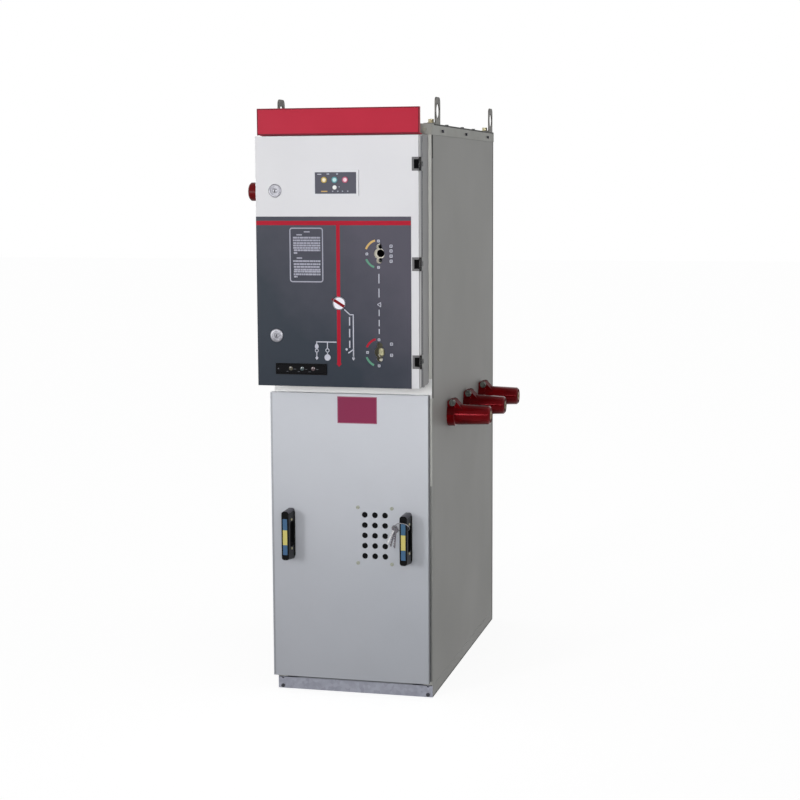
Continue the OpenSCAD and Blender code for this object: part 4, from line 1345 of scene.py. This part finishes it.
@dataclass
class Lock:
    """One round door lock, with painted shade for its key slot.

    Attributes:
        centre: X and Z of the lock's axis.
        face: Y of the surface that the lock sits on.
        radius: Radius of its collar.
        name: Which of the door's locks it is.
    """

    centre: Point
    face: float
    radius: float
    name: str

    def build(self) -> bpy.types.Object:
        """Builds the lock's turned parts.

        Returns:
            The outer part.
        """
        r = self.radius
        shell_profile = [(0, 0.0012), (r * 0.4, 0.0012), (r * 0.42, 0.0018), (r * 0.64, 0.0018),
                         (r * 0.66, 0.003), (r * 0.88, 0.003), (r * 0.96, 0.0024), (r, 0.0012), (r, 0)]
        barrel_profile = [(0, 0.0029), (r * 0.3, 0.0029), (r * 0.33, 0.0026), (r * 0.33, 0.001)]
        shell = turned("lock_shell_" + self.name, self.centre, self.face, shell_profile, CHROME, 48, 30)
        turned("lock_barrel_" + self.name, self.centre, self.face, barrel_profile, CHROME, 32, 30)
        # painted shade: the key slot is a dark print on the barrel
        slot = Print(*self.centre, self.face - 0.00286)
        slot.bar((-1.2, -4.2), (1.2, 4.2), 1.7)
        slot.disc((0, 0), 1.9)
        slot.finish("lock_slot_" + self.name, KEYHOLE_PAINTED_SHADE, "upper_door")
        return shell


def seal(
    node: str, body: str, deep: float = 0.0045, proud: float = 0.0004, gap: float = 0.0002
) -> bpy.types.Object:
    """Lays the dark seal that shows at both sides of a closed door's rear edge.

    Args:
        node: The CAD node of the door.
        body: CAD body of the door.
        deep: Depth of the seal.
        proud: How far it stands out sideways.
        gap: What it leaves free at the rear.

    Returns:
        The seal.
    """
    low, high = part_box(node)
    bm = bmesh.new()
    for x, out in ((low.x, -1), (high.x, 1)):
        near, far = sorted((x, x + out * proud))
        block(bm, (near, high.y - deep, low.z + END_GAP), (far, high.y - gap, high.z - END_GAP))
    return show("seal_" + node, bm, SEAL, body)


@dataclass
class UpperDoor:
    """Hinged door with the operating panel, lamps, locks and voltage display.

    Attributes:
        edge: Rounding of the door's edges.
        folds: Start and end of each line on the right side, from the front: painted shade, painted highlight,
            painted shade.
        hinge_pin: From the right end of the hinge leaves to where their barrels begin.
        hinge_proud: How far the painted shade of a hinge's recess stands before the door.
        hinge_middle: From the left end of the hinge leaves to the middle of their plates.
        hinge_plate: Least area of the front of a hinge's plate, in square metres.
        recess: From that middle to the recess's left and right end, and half its height, in millimetres.
        display_rim: Width of the display's rim.
        display_floor: From the front of the rim back to the floor of the display.
        display_glass: Thickness of the window that lies on it.
        display_row: How far above the middle the dark lamps sit.
        display_lamps: Name, place from the left in millimetres and tone of each dark lamp, 8-bit.
        display_lens: Radius and height of the points of a dark lamp's profile.
        display_marks: Left, foot, right and top of the marks by a lamp; the sides count from the lamp.
        rim: Inset and width of the indicator's rim, in millimetres.
        bar_turn: Direction of the indicator's bar, in degrees.
        bar_width: Its width in millimetres.
        bar_inset: What it leaves free at both ends, in millimetres.
    """

    edge: float = 0.0016
    folds: tuple[Point, ...] = ((0.0018, 0.007), (0.010, 0.021), (0.026, 0.036))
    hinge_pin: float = 0.0065
    hinge_proud: float = 0.0015
    hinge_middle: float = 0.0125
    hinge_plate: float = 0.0003
    recess: tuple[float, float, float] = (-6.0, 8.5, 13.5)
    display_rim: float = 0.004
    display_floor: float = 0.002
    display_glass: float = 0.0007
    display_row: float = 0.0015
    display_lamps: tuple[tuple[str, float, tuple[int, int, int]], ...] = (
        ("amber", 47, (62, 56, 34)), ("teal", 82, (34, 58, 62)), ("rose", 116, (66, 42, 48)),
    )
    display_lens: tuple[Point, ...] = ((0, 0.0012), (0.004, 0.001), (0.006, 0.0005), (0.0064, 0))
    display_marks: tuple[tuple[float, float, float, float], ...] = ((9, 15.5, 16, 16.7), (-14, 8.2, -8, 9.4))
    rim: Point = (0.9, 1.4)
    bar_turn: float = -32
    bar_width: float = 8.4
    bar_inset: float = 0.6

    def build(self) -> None:
        """Builds and dresses all that swings with the upper door."""
        body = "upper_door"
        seal("upper_door", body)
        rounded("upper_door", self.edge, FRONT_PAINT, body)
        self._side_lines()
        # slate overlay, lighter towards its upper right as painted light
        rounded("mimic_panel", THIN_EDGE, SLATE, body)
        self._hinges()
        Overlay().build()
        LampUnit().build()
        self._locks()
        self._display()
        self._indicator()
        log.info("upper door: panel, lamps, locks, display and indicator")

    def _side_lines(self) -> None:
        """Lays painted shade and a painted highlight along the folded sheet of the door's right side."""
        low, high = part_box("upper_door")
        pale, grey = bmesh.new(), bmesh.new()
        # painted shade, a painted highlight, then painted shade again, from the front
        for bm, (start, end) in zip((grey, pale, grey), self.folds):
            block(bm, (high.x, low.y + start, low.z + END_GAP),
                  (high.x + FILM, low.y + end, high.z - END_GAP))
        show("door_fold_painted_highlight", pale, FRONT_PAINT_PAINTED_LIGHT, "upper_door")
        show("door_fold_painted_shade", grey, SIDE_PAINTED_SHADE, "upper_door")

    def _hinges(self) -> None:
        """Dresses the hinge leaves, with painted shade for the recess in the middle of each."""
        low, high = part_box("hinge_door_leaves")
        leaves = rounded("hinge_door_leaves", THIN_EDGE, HINGE_LEAF, "upper_door")
        pin = high.x - self.hinge_pin
        tint(leaves, HINGE_BLACK, lambda centre, normal: centre.x > pin)
        # painted shade: a dark print for the recess in each hinge plate
        ink = Print(0.0, 0.0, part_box("upper_door")[0].y - self.hinge_proud)
        bm = merged("hinge_door_leaves")
        plates = [f for f in bm.faces if f.normal.y < -FACING and f.calc_area() > self.hinge_plate]
        heights = [face.calc_center_bounds().z / MM for face in plates]
        bm.free()
        u = (low.x + self.hinge_middle) / MM
        left, right, half = self.recess
        for v in heights:
            ink.rect(u + left, v - half, u + right, v + half)
        ink.finish("hinge_recess_painted_shade", HOLE_PAINTED_SHADE, "upper_door")

    def _locks(self) -> None:
        """Builds both locks in place of the plain ones."""
        low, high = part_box("upper_door_locks")
        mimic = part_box("mimic_panel")[0].y
        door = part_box("upper_door")[0].y
        r = (high.x - low.x) / 2
        x = (low.x + high.x) / 2
        upper = Lock((x, high.z - r), door, r, "upper").build()
        Lock((x, low.z + r), mimic, r, "lower").build()
        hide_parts("upper_door_locks")

    def _display(self) -> None:
        """Adds the window and its dark lamps to the display strip."""
        body = "upper_door"
        rounded("display_strip", SHEET_EDGE, BLACK_PLASTIC, body)
        low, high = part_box("display_strip")
        rim, floor = self.display_rim + FILM, low.y + self.display_floor
        glass = floor - self.display_glass
        bm = bmesh.new()
        block(bm, (low.x + rim, glass, low.z + rim), (high.x - rim, floor, high.z - rim))
        round_box(bm, THIN_EDGE)
        show("display_window", bm, BLACK_WINDOW, body)
        row = (low.z + high.z) / 2 + self.display_row
        marks = Print(low.x, low.z, glass, 0.00008)
        for name, u, tone in self.display_lamps:
            turned("display_lamp_" + name, (low.x + u * MM, row), glass, self.display_lens,
                   lens("display_" + name, tone, tone), 24, 60)
            for left, foot, right, top in self.display_marks:
                marks.rect(u + left, foot, u + right, top)
        marks.finish("display_marks", INK_GREY, body)
        dot = Print(low.x, low.z, glass, 0.0003)
        dot.disc((8, 17), 2.0)
        dot.finish("display_dot", INK_GREY, body)

    def _indicator(self) -> None:
        """Builds the white disc with its rim and its red bar."""
        body = "position_indicator"
        low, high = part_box("position_indicator")
        centre, face = ((low.x + high.x) / 2, (low.z + high.z) / 2), low.y
        reach = (high.x - low.x) / 2 / MM
        rounded("position_indicator", THIN_EDGE, DISC_WHITE, body)
        rim = Print(*centre, face, 0.00015)
        inset, width = self.rim
        rim.arc((0, 0), reach - inset, width)
        rim.finish("indicator_rim", INK_GREY, body)
        bar = Print(*centre, face, 0.00025)
        turn = math.radians(self.bar_turn)
        end = Vector((math.cos(turn), math.sin(turn))) * (reach - self.bar_inset)
        bar.bar(tuple(-end), tuple(end), self.bar_width)
        bar.finish("indicator_bar", DISC_RED, body)
        log.info("indicator: disc, rim and bar")


@dataclass
class LowerDoor:
    """Lift-off door of the cable compartment, with handles, vents and keys.

    Attributes:
        edge: Rounding of the door's edges.
        side_facing: Least share of a face's normal along X that counts as the door's side.
        plate_edge: Rounding of the crimson plate's edges.
        border: Inset, width and corner radius of the plate's border, in millimetres.
        band_width: Width of the coloured bands on the grips.
        band_gap: What each band leaves free at its ends.
        band_edge: Rounding of the bands' edges.
        yellow_band: Lower and upper end of the yellow band, from the foot of the bands.
        foot: Width of a handle's side that stays flat at the door.
        fold: Where the painted shade along the left fold ends, from the door's edge.
        handle_brow: How far a grip's upper front edge lies below its base.
        handle_taper: How far its lower front edge lies above its base.
        handle_round: Radius of the rounded ends.
        handle_cuts: How many flat cuts round an end.
        handle_edge: Rounding of the handles' edges.
        shoulder: Height of a handle's upper end that gets the painted reflection of the light from above.
        shoulder_facing: Least share of a face's normal along Z that does so.
    """

    edge: float = 0.0015
    side_facing: float = 0.6
    plate_edge: float = 0.0002
    border: tuple[float, float, float] = (1.6, 1.0, 1.5)
    band_width: float = 0.014
    band_gap: float = 0.0002
    band_edge: float = 0.0002
    yellow_band: Point = (0.031, 0.0775)
    foot: float = 0.002
    fold: float = 0.0065
    handle_brow: float = 0.001
    handle_taper: float = 0.008
    handle_round: float = 0.0078
    handle_cuts: int = 4
    handle_edge: float = 0.0022
    shoulder: float = 0.03
    shoulder_facing: float = 0.3

    def build(self) -> None:
        """Builds and dresses all that lifts off with the lower door."""
        body = "lower_door"
        seal("lower_door", body)
        # cooler paint, with painted light that is lighter towards the top
        door = rounded("lower_door", self.edge, LOW_PAINT, body)
        # painted shade on the door's side faces
        tint(door, LOW_SIDE_PAINTED_SHADE, lambda centre, normal: abs(normal.x) > self.side_facing)
        self._edge_line()
        rounded("symbol_plate", self.plate_edge, CRIMSON_FILM, body)
        dress("vent_screen", SCREEN_BLACK)
        rounded("vent_screws", SCREW_EDGE, SCREW_DULL, body)
        for node in ("handle_left", "handle_right"):
            self._handle(node)
        rounded("handle_screws", THIN_EDGE, YELLOW_ZINC, body)
        self._plate_border()
        self._inserts()
        Keys().build()
        log.info("lower door: vents, handles and keys")

    def _edge_line(self) -> None:
        """Lays painted shade along the folded edge on the door's left."""
        low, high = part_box("lower_door")
        line = bmesh.new()
        block(line, (low.x + self.edge, low.y - FILM, low.z + END_GAP),
              (low.x + self.fold, low.y, high.z - END_GAP))
        show("low_door_fold_painted_shade", line, LOW_EDGE_PAINTED_SHADE, "lower_door")

    def _handle(self, node: str) -> None:
        """Replaces a handle by a copy with rounded ends and soft edges.

        Args:
            node: The CAD node of the handle.
        """
        low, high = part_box(node)
        middle, half = (low.x + high.x) / 2, (high.x - low.x) / 2 - self.foot
        radius = self.handle_round
        ends = ((high.z - self.handle_brow, 1, self.handle_brow),
                (low.z + self.handle_taper, -1, self.handle_taper))
        bm = merged(node)
        for side in (-1, 1):
            for end, up, taper in ends:
                out = Vector((0, -taper, up * (high.y - low.y))).normalized()
                pivot = Vector((middle + side * (half - radius), low.y, end)) - out * radius
                for step in range(self.handle_cuts):
                    turn = math.radians(90 / (self.handle_cuts + 1) * (step + 1))
                    normal = Vector((side * math.cos(turn), 0, 0)) + out * math.sin(turn)
                    self._pare(bm, pivot + normal * radius, normal)
        bmesh.ops.recalc_face_normals(bm, faces=bm.faces)
        soften(bm)
        grip = fine(node, bm, self.handle_edge, HANDLE_BLACK, "lower_door", 3)
        # painted reflection on the upward faces of the handle's upper end
        shoulder = high.z - self.shoulder
        tint(grip, HANDLE_PAINTED_REFLECTION,
             lambda centre, normal: normal.z > self.shoulder_facing and centre.z > shoulder)

    def _pare(self, bm: bmesh.types.BMesh, at: Vector, normal: Vector) -> None:
        """Cuts away what lies outside a plane and closes the cut.

        Args:
            bm: The shape.
            at: A point of the plane.
            normal: The side that is cut away.
        """
        cut = bmesh.ops.bisect_plane(bm, geom=[*bm.verts, *bm.edges, *bm.faces], dist=1e-7, plane_co=at,
                                     plane_no=normal, clear_outer=True)
        rim = [g for g in cut["geom_cut"] if isinstance(g, bmesh.types.BMEdge)]
        bmesh.ops.holes_fill(bm, edges=rim, sides=0)

    def _plate_border(self) -> None:
        """Prints the pale border of the crimson plate."""
        low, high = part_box("symbol_plate")
        width, height = (high.x - low.x) / MM, (high.z - low.z) / MM
        edge = Print(low.x, low.z, low.y)
        inset, stroke, corner = self.border
        edge.outline(inset, inset, width - inset, height - inset, stroke, corner)
        edge.finish("plate_border", PLATE_EDGE, "lower_door")

    def _inserts(self) -> None:
        """Builds the blue and yellow bands on the grips."""
        low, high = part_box("handle_inserts")
        width, gap = self.band_width, self.band_gap
        blue, yellow = bmesh.new(), bmesh.new()
        foot, top = (low.z + up for up in self.yellow_band)
        for left in (low.x, high.x - width):
            for z0, z1, bm in ((low.z, foot, blue), (foot, top, yellow), (top, high.z, blue)):
                block(bm, (left, low.y, z0 + gap), (left + width, high.y, z1 - gap))
        for bm in (blue, yellow):
            round_box(bm, self.band_edge)
        piece = show("insert_blue_bands", blue, INSERT_BLUE, "lower_door")
        show("insert_yellow_bands", yellow, INSERT_YELLOW, "lower_door")
        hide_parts("handle_inserts")


@dataclass
class Keys:
    """Key ring round the right-hand grip, with three keys.

    Attributes:
        ring_r: Radius of the ring's wire circle.
        wire: Radius of the wire.
        tilt: Slope of the ring, in degrees.
        shift: How far the ring hangs to the left of the grip's middle.
        bow_r: Radius of a key's bow.
        eye_r: Radius of the hole in a bow.
        eye_up: From the middle of a bow up to its hole.
        blade: Length of a key below its bow.
        half_thick: Half the thickness of a key.
        half_width: Half the width of its blade.
        collar: How far the collar reaches below the bow, and how far up into it.
        web: From the axis of the blade to the foot of its notches.
        teeth: How many teeth a key has.
        tooth_pitch: From tooth to tooth.
        tooth_start: From the tip up to the first tooth.
        tooth_height: Height of a tooth.
        tooth_step: How much shorter the second and third tooth of every three are, each than the one before.
        grip_half: From the back of the coloured bands to the middle of the grip.
        spread: From key to key, front to back.
        drop: From the wire down to a key's hole.
        leans: Lean of each key, in degrees.
    """

    ring_r: float = 0.022
    wire: float = 0.0013
    tilt: float = 45.0
    shift: float = 0.0051
    bow_r: float = 0.009
    eye_r: float = 0.0048
    eye_up: float = 0.003
    blade: float = 0.046
    half_thick: float = 0.0009
    half_width: float = 0.0034
    collar: Point = (0.006, 0.0012)
    web: float = 0.0008
    teeth: int = 5
    tooth_pitch: float = 0.0075
    tooth_start: float = 0.004
    tooth_height: float = 0.0042
    tooth_step: float = 0.0006
    grip_half: float = 0.0085
    spread: float = 0.004
    drop: float = 0.0035
    leans: tuple[float, ...] = (26.0, 15.0, 5.0)

    def build(self) -> None:
        """Builds the ring and the keys in place of the plain ones."""
        grip_lo, grip_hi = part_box("handle_right")
        x = (grip_lo.x + grip_hi.x) / 2 - self.shift
        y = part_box("handle_inserts")[1].y + self.grip_half
        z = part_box("keys")[1].z - (self.ring_r * math.sin(math.radians(self.tilt)) + self.wire)
        centre = Vector((x, y, z))
        ring = self._ring(centre)
        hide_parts("keys")
        slope = math.radians(self.tilt)
        for number, lean in enumerate(self.leans):
            back = (number - 1) * self.spread
            reach = math.sqrt(self.ring_r ** 2 - (back / math.cos(slope)) ** 2)
            hole = Vector((-reach, back, -self.drop - back * math.tan(slope)))
            place = Matrix.Translation(centre + hole) @ Matrix.Rotation(math.radians(lean), 4, "Y")
            self._key(place @ Matrix.Translation((0, 0, -self.eye_up)), number)
        log.info("keys: ring and three keys")

    def _ring(self, centre: Vector) -> bpy.types.Object:
        """Builds the tilted wire ring.

        Args:
            centre: Middle of the ring.

        Returns:
            The ring.
        """
        bm = bmesh.new()
        turn = Matrix.Translation(centre) @ Matrix.Rotation(math.radians(-self.tilt), 4, "X")
        side = Matrix.Translation((self.ring_r, 0, 0)) @ Matrix.Rotation(math.radians(90), 4, "X")
        wire = self._circle(bm, self.wire, turn @ side, 12)
        edges = list({e for v in wire for e in v.link_edges})
        axis = turn.to_3x3() @ Vector((0, 0, 1))
        bmesh.ops.spin(bm, geom=[*wire, *edges], cent=centre, axis=axis, dvec=(0, 0, 0), angle=math.tau,
                       steps=56, use_merge=True, use_normal_flip=False, use_duplicate=False)
        close(bm)
        soften(bm, 60)
        return show("key_ring", bm, RING_STEEL, "lower_door")

    def _key(self, place: Matrix, number: int) -> None:
        """Builds one key: a pierced bow, a collar and a notched blade.

        Args:
            place: Where the middle of the bow is, and how the key is turned.
            number: Number of the key on the ring.
        """
        bm = bmesh.new()
        r, t, half, tip = self.bow_r, self.half_thick, self.half_width, -self.bow_r - self.blade
        below, above = self.collar
        upright = Matrix.Translation((0, -t, 0)) @ Matrix.Rotation(math.radians(90), 4, "X")
        outer = self._circle(bm, r, upright)
        inner = self._circle(bm, self.eye_r, Matrix.Translation((0, 0, self.eye_up)) @ upright)
        edges = list({e for v in (*outer, *inner) for e in v.link_edges})
        faces = bmesh.ops.bridge_loops(bm, edges=edges)["faces"]
        grown = bmesh.ops.extrude_face_region(bm, geom=faces)["geom"]
        back = [g for g in grown if isinstance(g, bmesh.types.BMVert)]
        bmesh.ops.translate(bm, verts=back, vec=(0, 2 * t, 0))
        block(bm, (-half, -t * 1.3, -r - below), (half, t * 1.3, -r + above))
        block(bm, (-self.web, -t * 0.8, tip), (half, t * 0.8, -r - 0.005))
        for tooth in range(self.teeth):
            z = tip + self.tooth_start + tooth * self.tooth_pitch
            block(bm, (-half + self.tooth_step * (tooth % 3), -t * 0.78, z),
                  (-0.0006, t * 0.78, z + self.tooth_height))
        bmesh.ops.transform(bm, matrix=place, verts=bm.verts)
        close(bm, 1e-7)
        soften(bm, 30)
        # the first key is bright; the others and every bow have painted shade
        key = show(f"key_{number + 1}", bm, KEY_PAINTED_SHADE if number else KEY_STEEL, "lower_door")
        bow = place.translation.z - self.bow_r
        tint(key, KEY_PAINTED_SHADE, lambda centre, normal: centre.z > bow)

    def _circle(
        self, bm: bmesh.types.BMesh, radius: float, place: Matrix, steps: int = 32
    ) -> list[bmesh.types.BMVert]:
        """Adds an open circle and returns its corners."""
        made = bmesh.ops.create_circle(bm, cap_ends=False, segments=steps, radius=radius, matrix=place)
        return made["verts"]


@dataclass
class BusbarBushings:
    """Cast bushings on both sides, with their contacts and bolts.

    Attributes:
        edge: Rounding of the bushings' edges.
        end: How far out from the middle of the cubicle their end faces begin.
        collar_out: How far out their collars end.
        top_facing: Least share of a face's normal along Z that counts as the top of a collar.
        contact_edge: Rounding of the contacts' edges.
        bolt_edge: Rounding of the bolts' edges.
    """

    edge: float = 0.0015
    end: float = 0.36
    collar_out: float = 0.3
    top_facing: float = 0.1
    contact_edge: float = 0.0005
    bolt_edge: float = 0.0012

    def build(self) -> None:
        """Dresses the six bushings."""
        body, end, out, up = "cubicle", self.end, self.collar_out, self.top_facing
        for side, resin in (("left", RESIN_DULL), ("right", RESIN)):
            cast = rounded("bushings_" + side, self.edge, resin, body, 3)
            tint(cast, RESIN_END, lambda centre, normal: abs(normal.x) > FACING and abs(centre.x) > end)
            tint(cast, RESIN_MATT, lambda centre, normal: abs(centre.x) < out and normal.z > up)
            rounded("bushing_contacts_" + side, self.contact_edge, BRASS, body)
            rounded("bushing_bolts_" + side, self.bolt_edge, BOLT_STEEL, body)
        log.info("bushings: two rows of three")


# ---------------------------------------------------------------- studio


@dataclass(frozen=True)
class Lamp:
    """Area light of the studio.

    Attributes:
        name: Name of the light.
        at: Its place.
        aim: The point it faces.
        size: Width and height in metres.
        power: Watts.
        spread: Angle of its grid, in degrees.
    """

    name: str
    at: tuple[float, float, float]
    aim: tuple[float, float, float]
    size: Point
    power: float
    spread: float

    def build(self) -> None:
        """Adds the light to the scene."""
        data = bpy.data.lights.new(self.name, "AREA")
        data.shape, data.energy = "RECTANGLE", self.power
        data.size, data.size_y = self.size
        data.spread = math.radians(self.spread)
        lamp = bpy.data.objects.new(self.name, data)
        lamp.location = self.at
        lamp.rotation_euler = (Vector(self.aim) - Vector(self.at)).to_track_quat("-Z", "Y").to_euler()
        bpy.context.scene.collection.objects.link(lamp)


@dataclass
class Studio:
    """Pale floor, soft light and the camera.

    Attributes:
        camera_at: Place of the camera.
        yaw: Turn of the camera to the left, in radians.
        pitch: Tilt of the camera below level, in radians.
        roll: Turn of the camera about its own axis, in radians.
        lens: Focal length in millimetres.
        sensor: Width of the sensor in millimetres.
        ambient: Strength of the light from all round.
        floor_size: Half the width of the floor.
        floor_tone: Grey of the floor as the light meets it.
        floor_shade: Share of the light that the floor shows to the camera, so that it keeps a soft shadow.
        floor_glow: Its own brightness to the camera.
        lamps: The lights.
    """

    camera_at: tuple[float, float, float] = (1.37978, -5.55997, 1.57141)
    yaw: float = 0.23854
    pitch: float = 0.12399
    roll: float = -0.00481
    lens: float = 77.915
    sensor: float = 36.0
    ambient: float = 0.42
    floor_size: float = 30.0
    floor_tone: float = 0.42
    floor_shade: float = 0.3
    floor_glow: float = 0.86
    lamps: tuple[Lamp, ...] = (
        Lamp("key_light", (-1.9, -3.9, 1.4), (0.0, -0.6, 1.75), (0.6, 0.8), 8.3, 80.0),
        Lamp("strip_light", (-0.3, -4.3, 1.45), (0.36, -0.25, 0.86), (0.4, 0.9), 0.7, 40.0),
        Lamp("front_light", (1.0, -4.4, 1.5), (0.15, -0.6, 1.85), (0.8, 0.8), 8.2, 64.0),
    )

    def build(self) -> None:
        """Sets up everything that isn't the object."""
        self._camera()
        self._world()
        self._floor()
        for lamp in self.lamps:
            lamp.build()
        bpy.context.scene.view_settings.view_transform = "Standard"
        log.info("studio: camera, floor and lights")

    def _camera(self) -> None:
        """Places the camera."""
        data = bpy.data.cameras.new("camera")
        data.lens, data.sensor_width = self.lens, self.sensor
        data.clip_start, data.clip_end = 0.1, 100.0
        camera = bpy.data.objects.new("camera", data)
        level = math.cos(self.pitch)
        ahead = Vector((-math.sin(self.yaw) * level, math.cos(self.yaw) * level, -math.sin(self.pitch)))
        right = Vector((math.cos(self.yaw), math.sin(self.yaw), 0))
        up = right.cross(ahead)
        c, s = math.cos(self.roll), math.sin(self.roll)
        x, y = right * c + up * s, up * c - right * s
        turn = Matrix((x, y, -ahead)).transposed().to_4x4()
        camera.matrix_world = Matrix.Translation(self.camera_at) @ turn
        bpy.context.scene.collection.objects.link(camera)
        bpy.context.scene.camera = camera

    def _seen(self, bench: Bench) -> bpy.types.NodeSocket:
        """Tells the rays that come from the camera, a reflection or glass.

        Args:
            bench: Bench of the tree that asks.

        Returns:
            A socket that is 1 for such a ray and 0 for any other.
        """
        path = bench.add("ShaderNodeLightPath").outputs
        seen = bench.math("MAXIMUM", path["Is Camera Ray"], path["Is Glossy Ray"])
        return bench.math("MAXIMUM", seen, path["Is Transmission Ray"])

    def _world(self) -> None:
        """Gives soft light from all round, and white where the world itself is seen."""
        world = bpy.data.worlds.new("studio")
        world.use_nodes = True
        bpy.context.scene.world = world
        bench = Bench(world.node_tree)
        back = world.node_tree.nodes["Background"]
        back.inputs["Color"].default_value = (1, 1, 1, 1)
        lift = bench.math("MULTIPLY", self._seen(bench), 1.0 - self.ambient)
        bench.feed(back, "Strength", bench.math("ADD", lift, self.ambient))

    def _floor(self) -> None:
        """Lays a pale floor that keeps a soft shadow."""
        bm = bmesh.new()
        bmesh.ops.create_grid(bm, x_segments=1, y_segments=1, size=self.floor_size)
        mesh = bpy.data.meshes.new("floor")
        bm.to_mesh(mesh)
        bm.free()
        paint = bpy.data.materials.new("floor_paint")
        paint.use_nodes = True
        tree = paint.node_tree
        tree.nodes.clear()
        bench = Bench(tree)
        plain = bench.add("ShaderNodeBsdfDiffuse", Color=(*[self.floor_tone] * 3, 1))
        thin = bench.add("ShaderNodeBsdfDiffuse", Color=(*[self.floor_shade] * 3, 1))
        glow = bench.add("ShaderNodeEmission", Color=(1, 1, 1, 1), Strength=self.floor_glow)
        lit = bench.add("ShaderNodeAddShader")
        bench.feed(lit, 0, thin.outputs[0])
        bench.feed(lit, 1, glow.outputs[0])
        mix = bench.add("ShaderNodeMixShader", Fac=self._seen(bench))
        bench.feed(mix, 1, plain.outputs[0])
        bench.feed(mix, 2, lit.outputs[0])
        bench.add("ShaderNodeOutputMaterial", Surface=mix.outputs[0])
        mesh.materials.append(paint)
        floor = bpy.data.objects.new("floor", mesh)
        bpy.context.scene.collection.objects.link(floor)


def main() -> None:
    """Builds the studio and every sub-assembly."""
    logging.basicConfig(level=logging.INFO, format="%(name)s: %(message)s")
    for effect in (build_grain, build_spangle, build_dust, build_painted_light):
        effect()
    Studio().build()
    for part in (Cubicle(), InstrumentBox(), UpperDoor(), LowerDoor(), BusbarBushings()):
        part.build()
    bpy.context.view_layer.update()


if __name__ == "__main__":
    main()
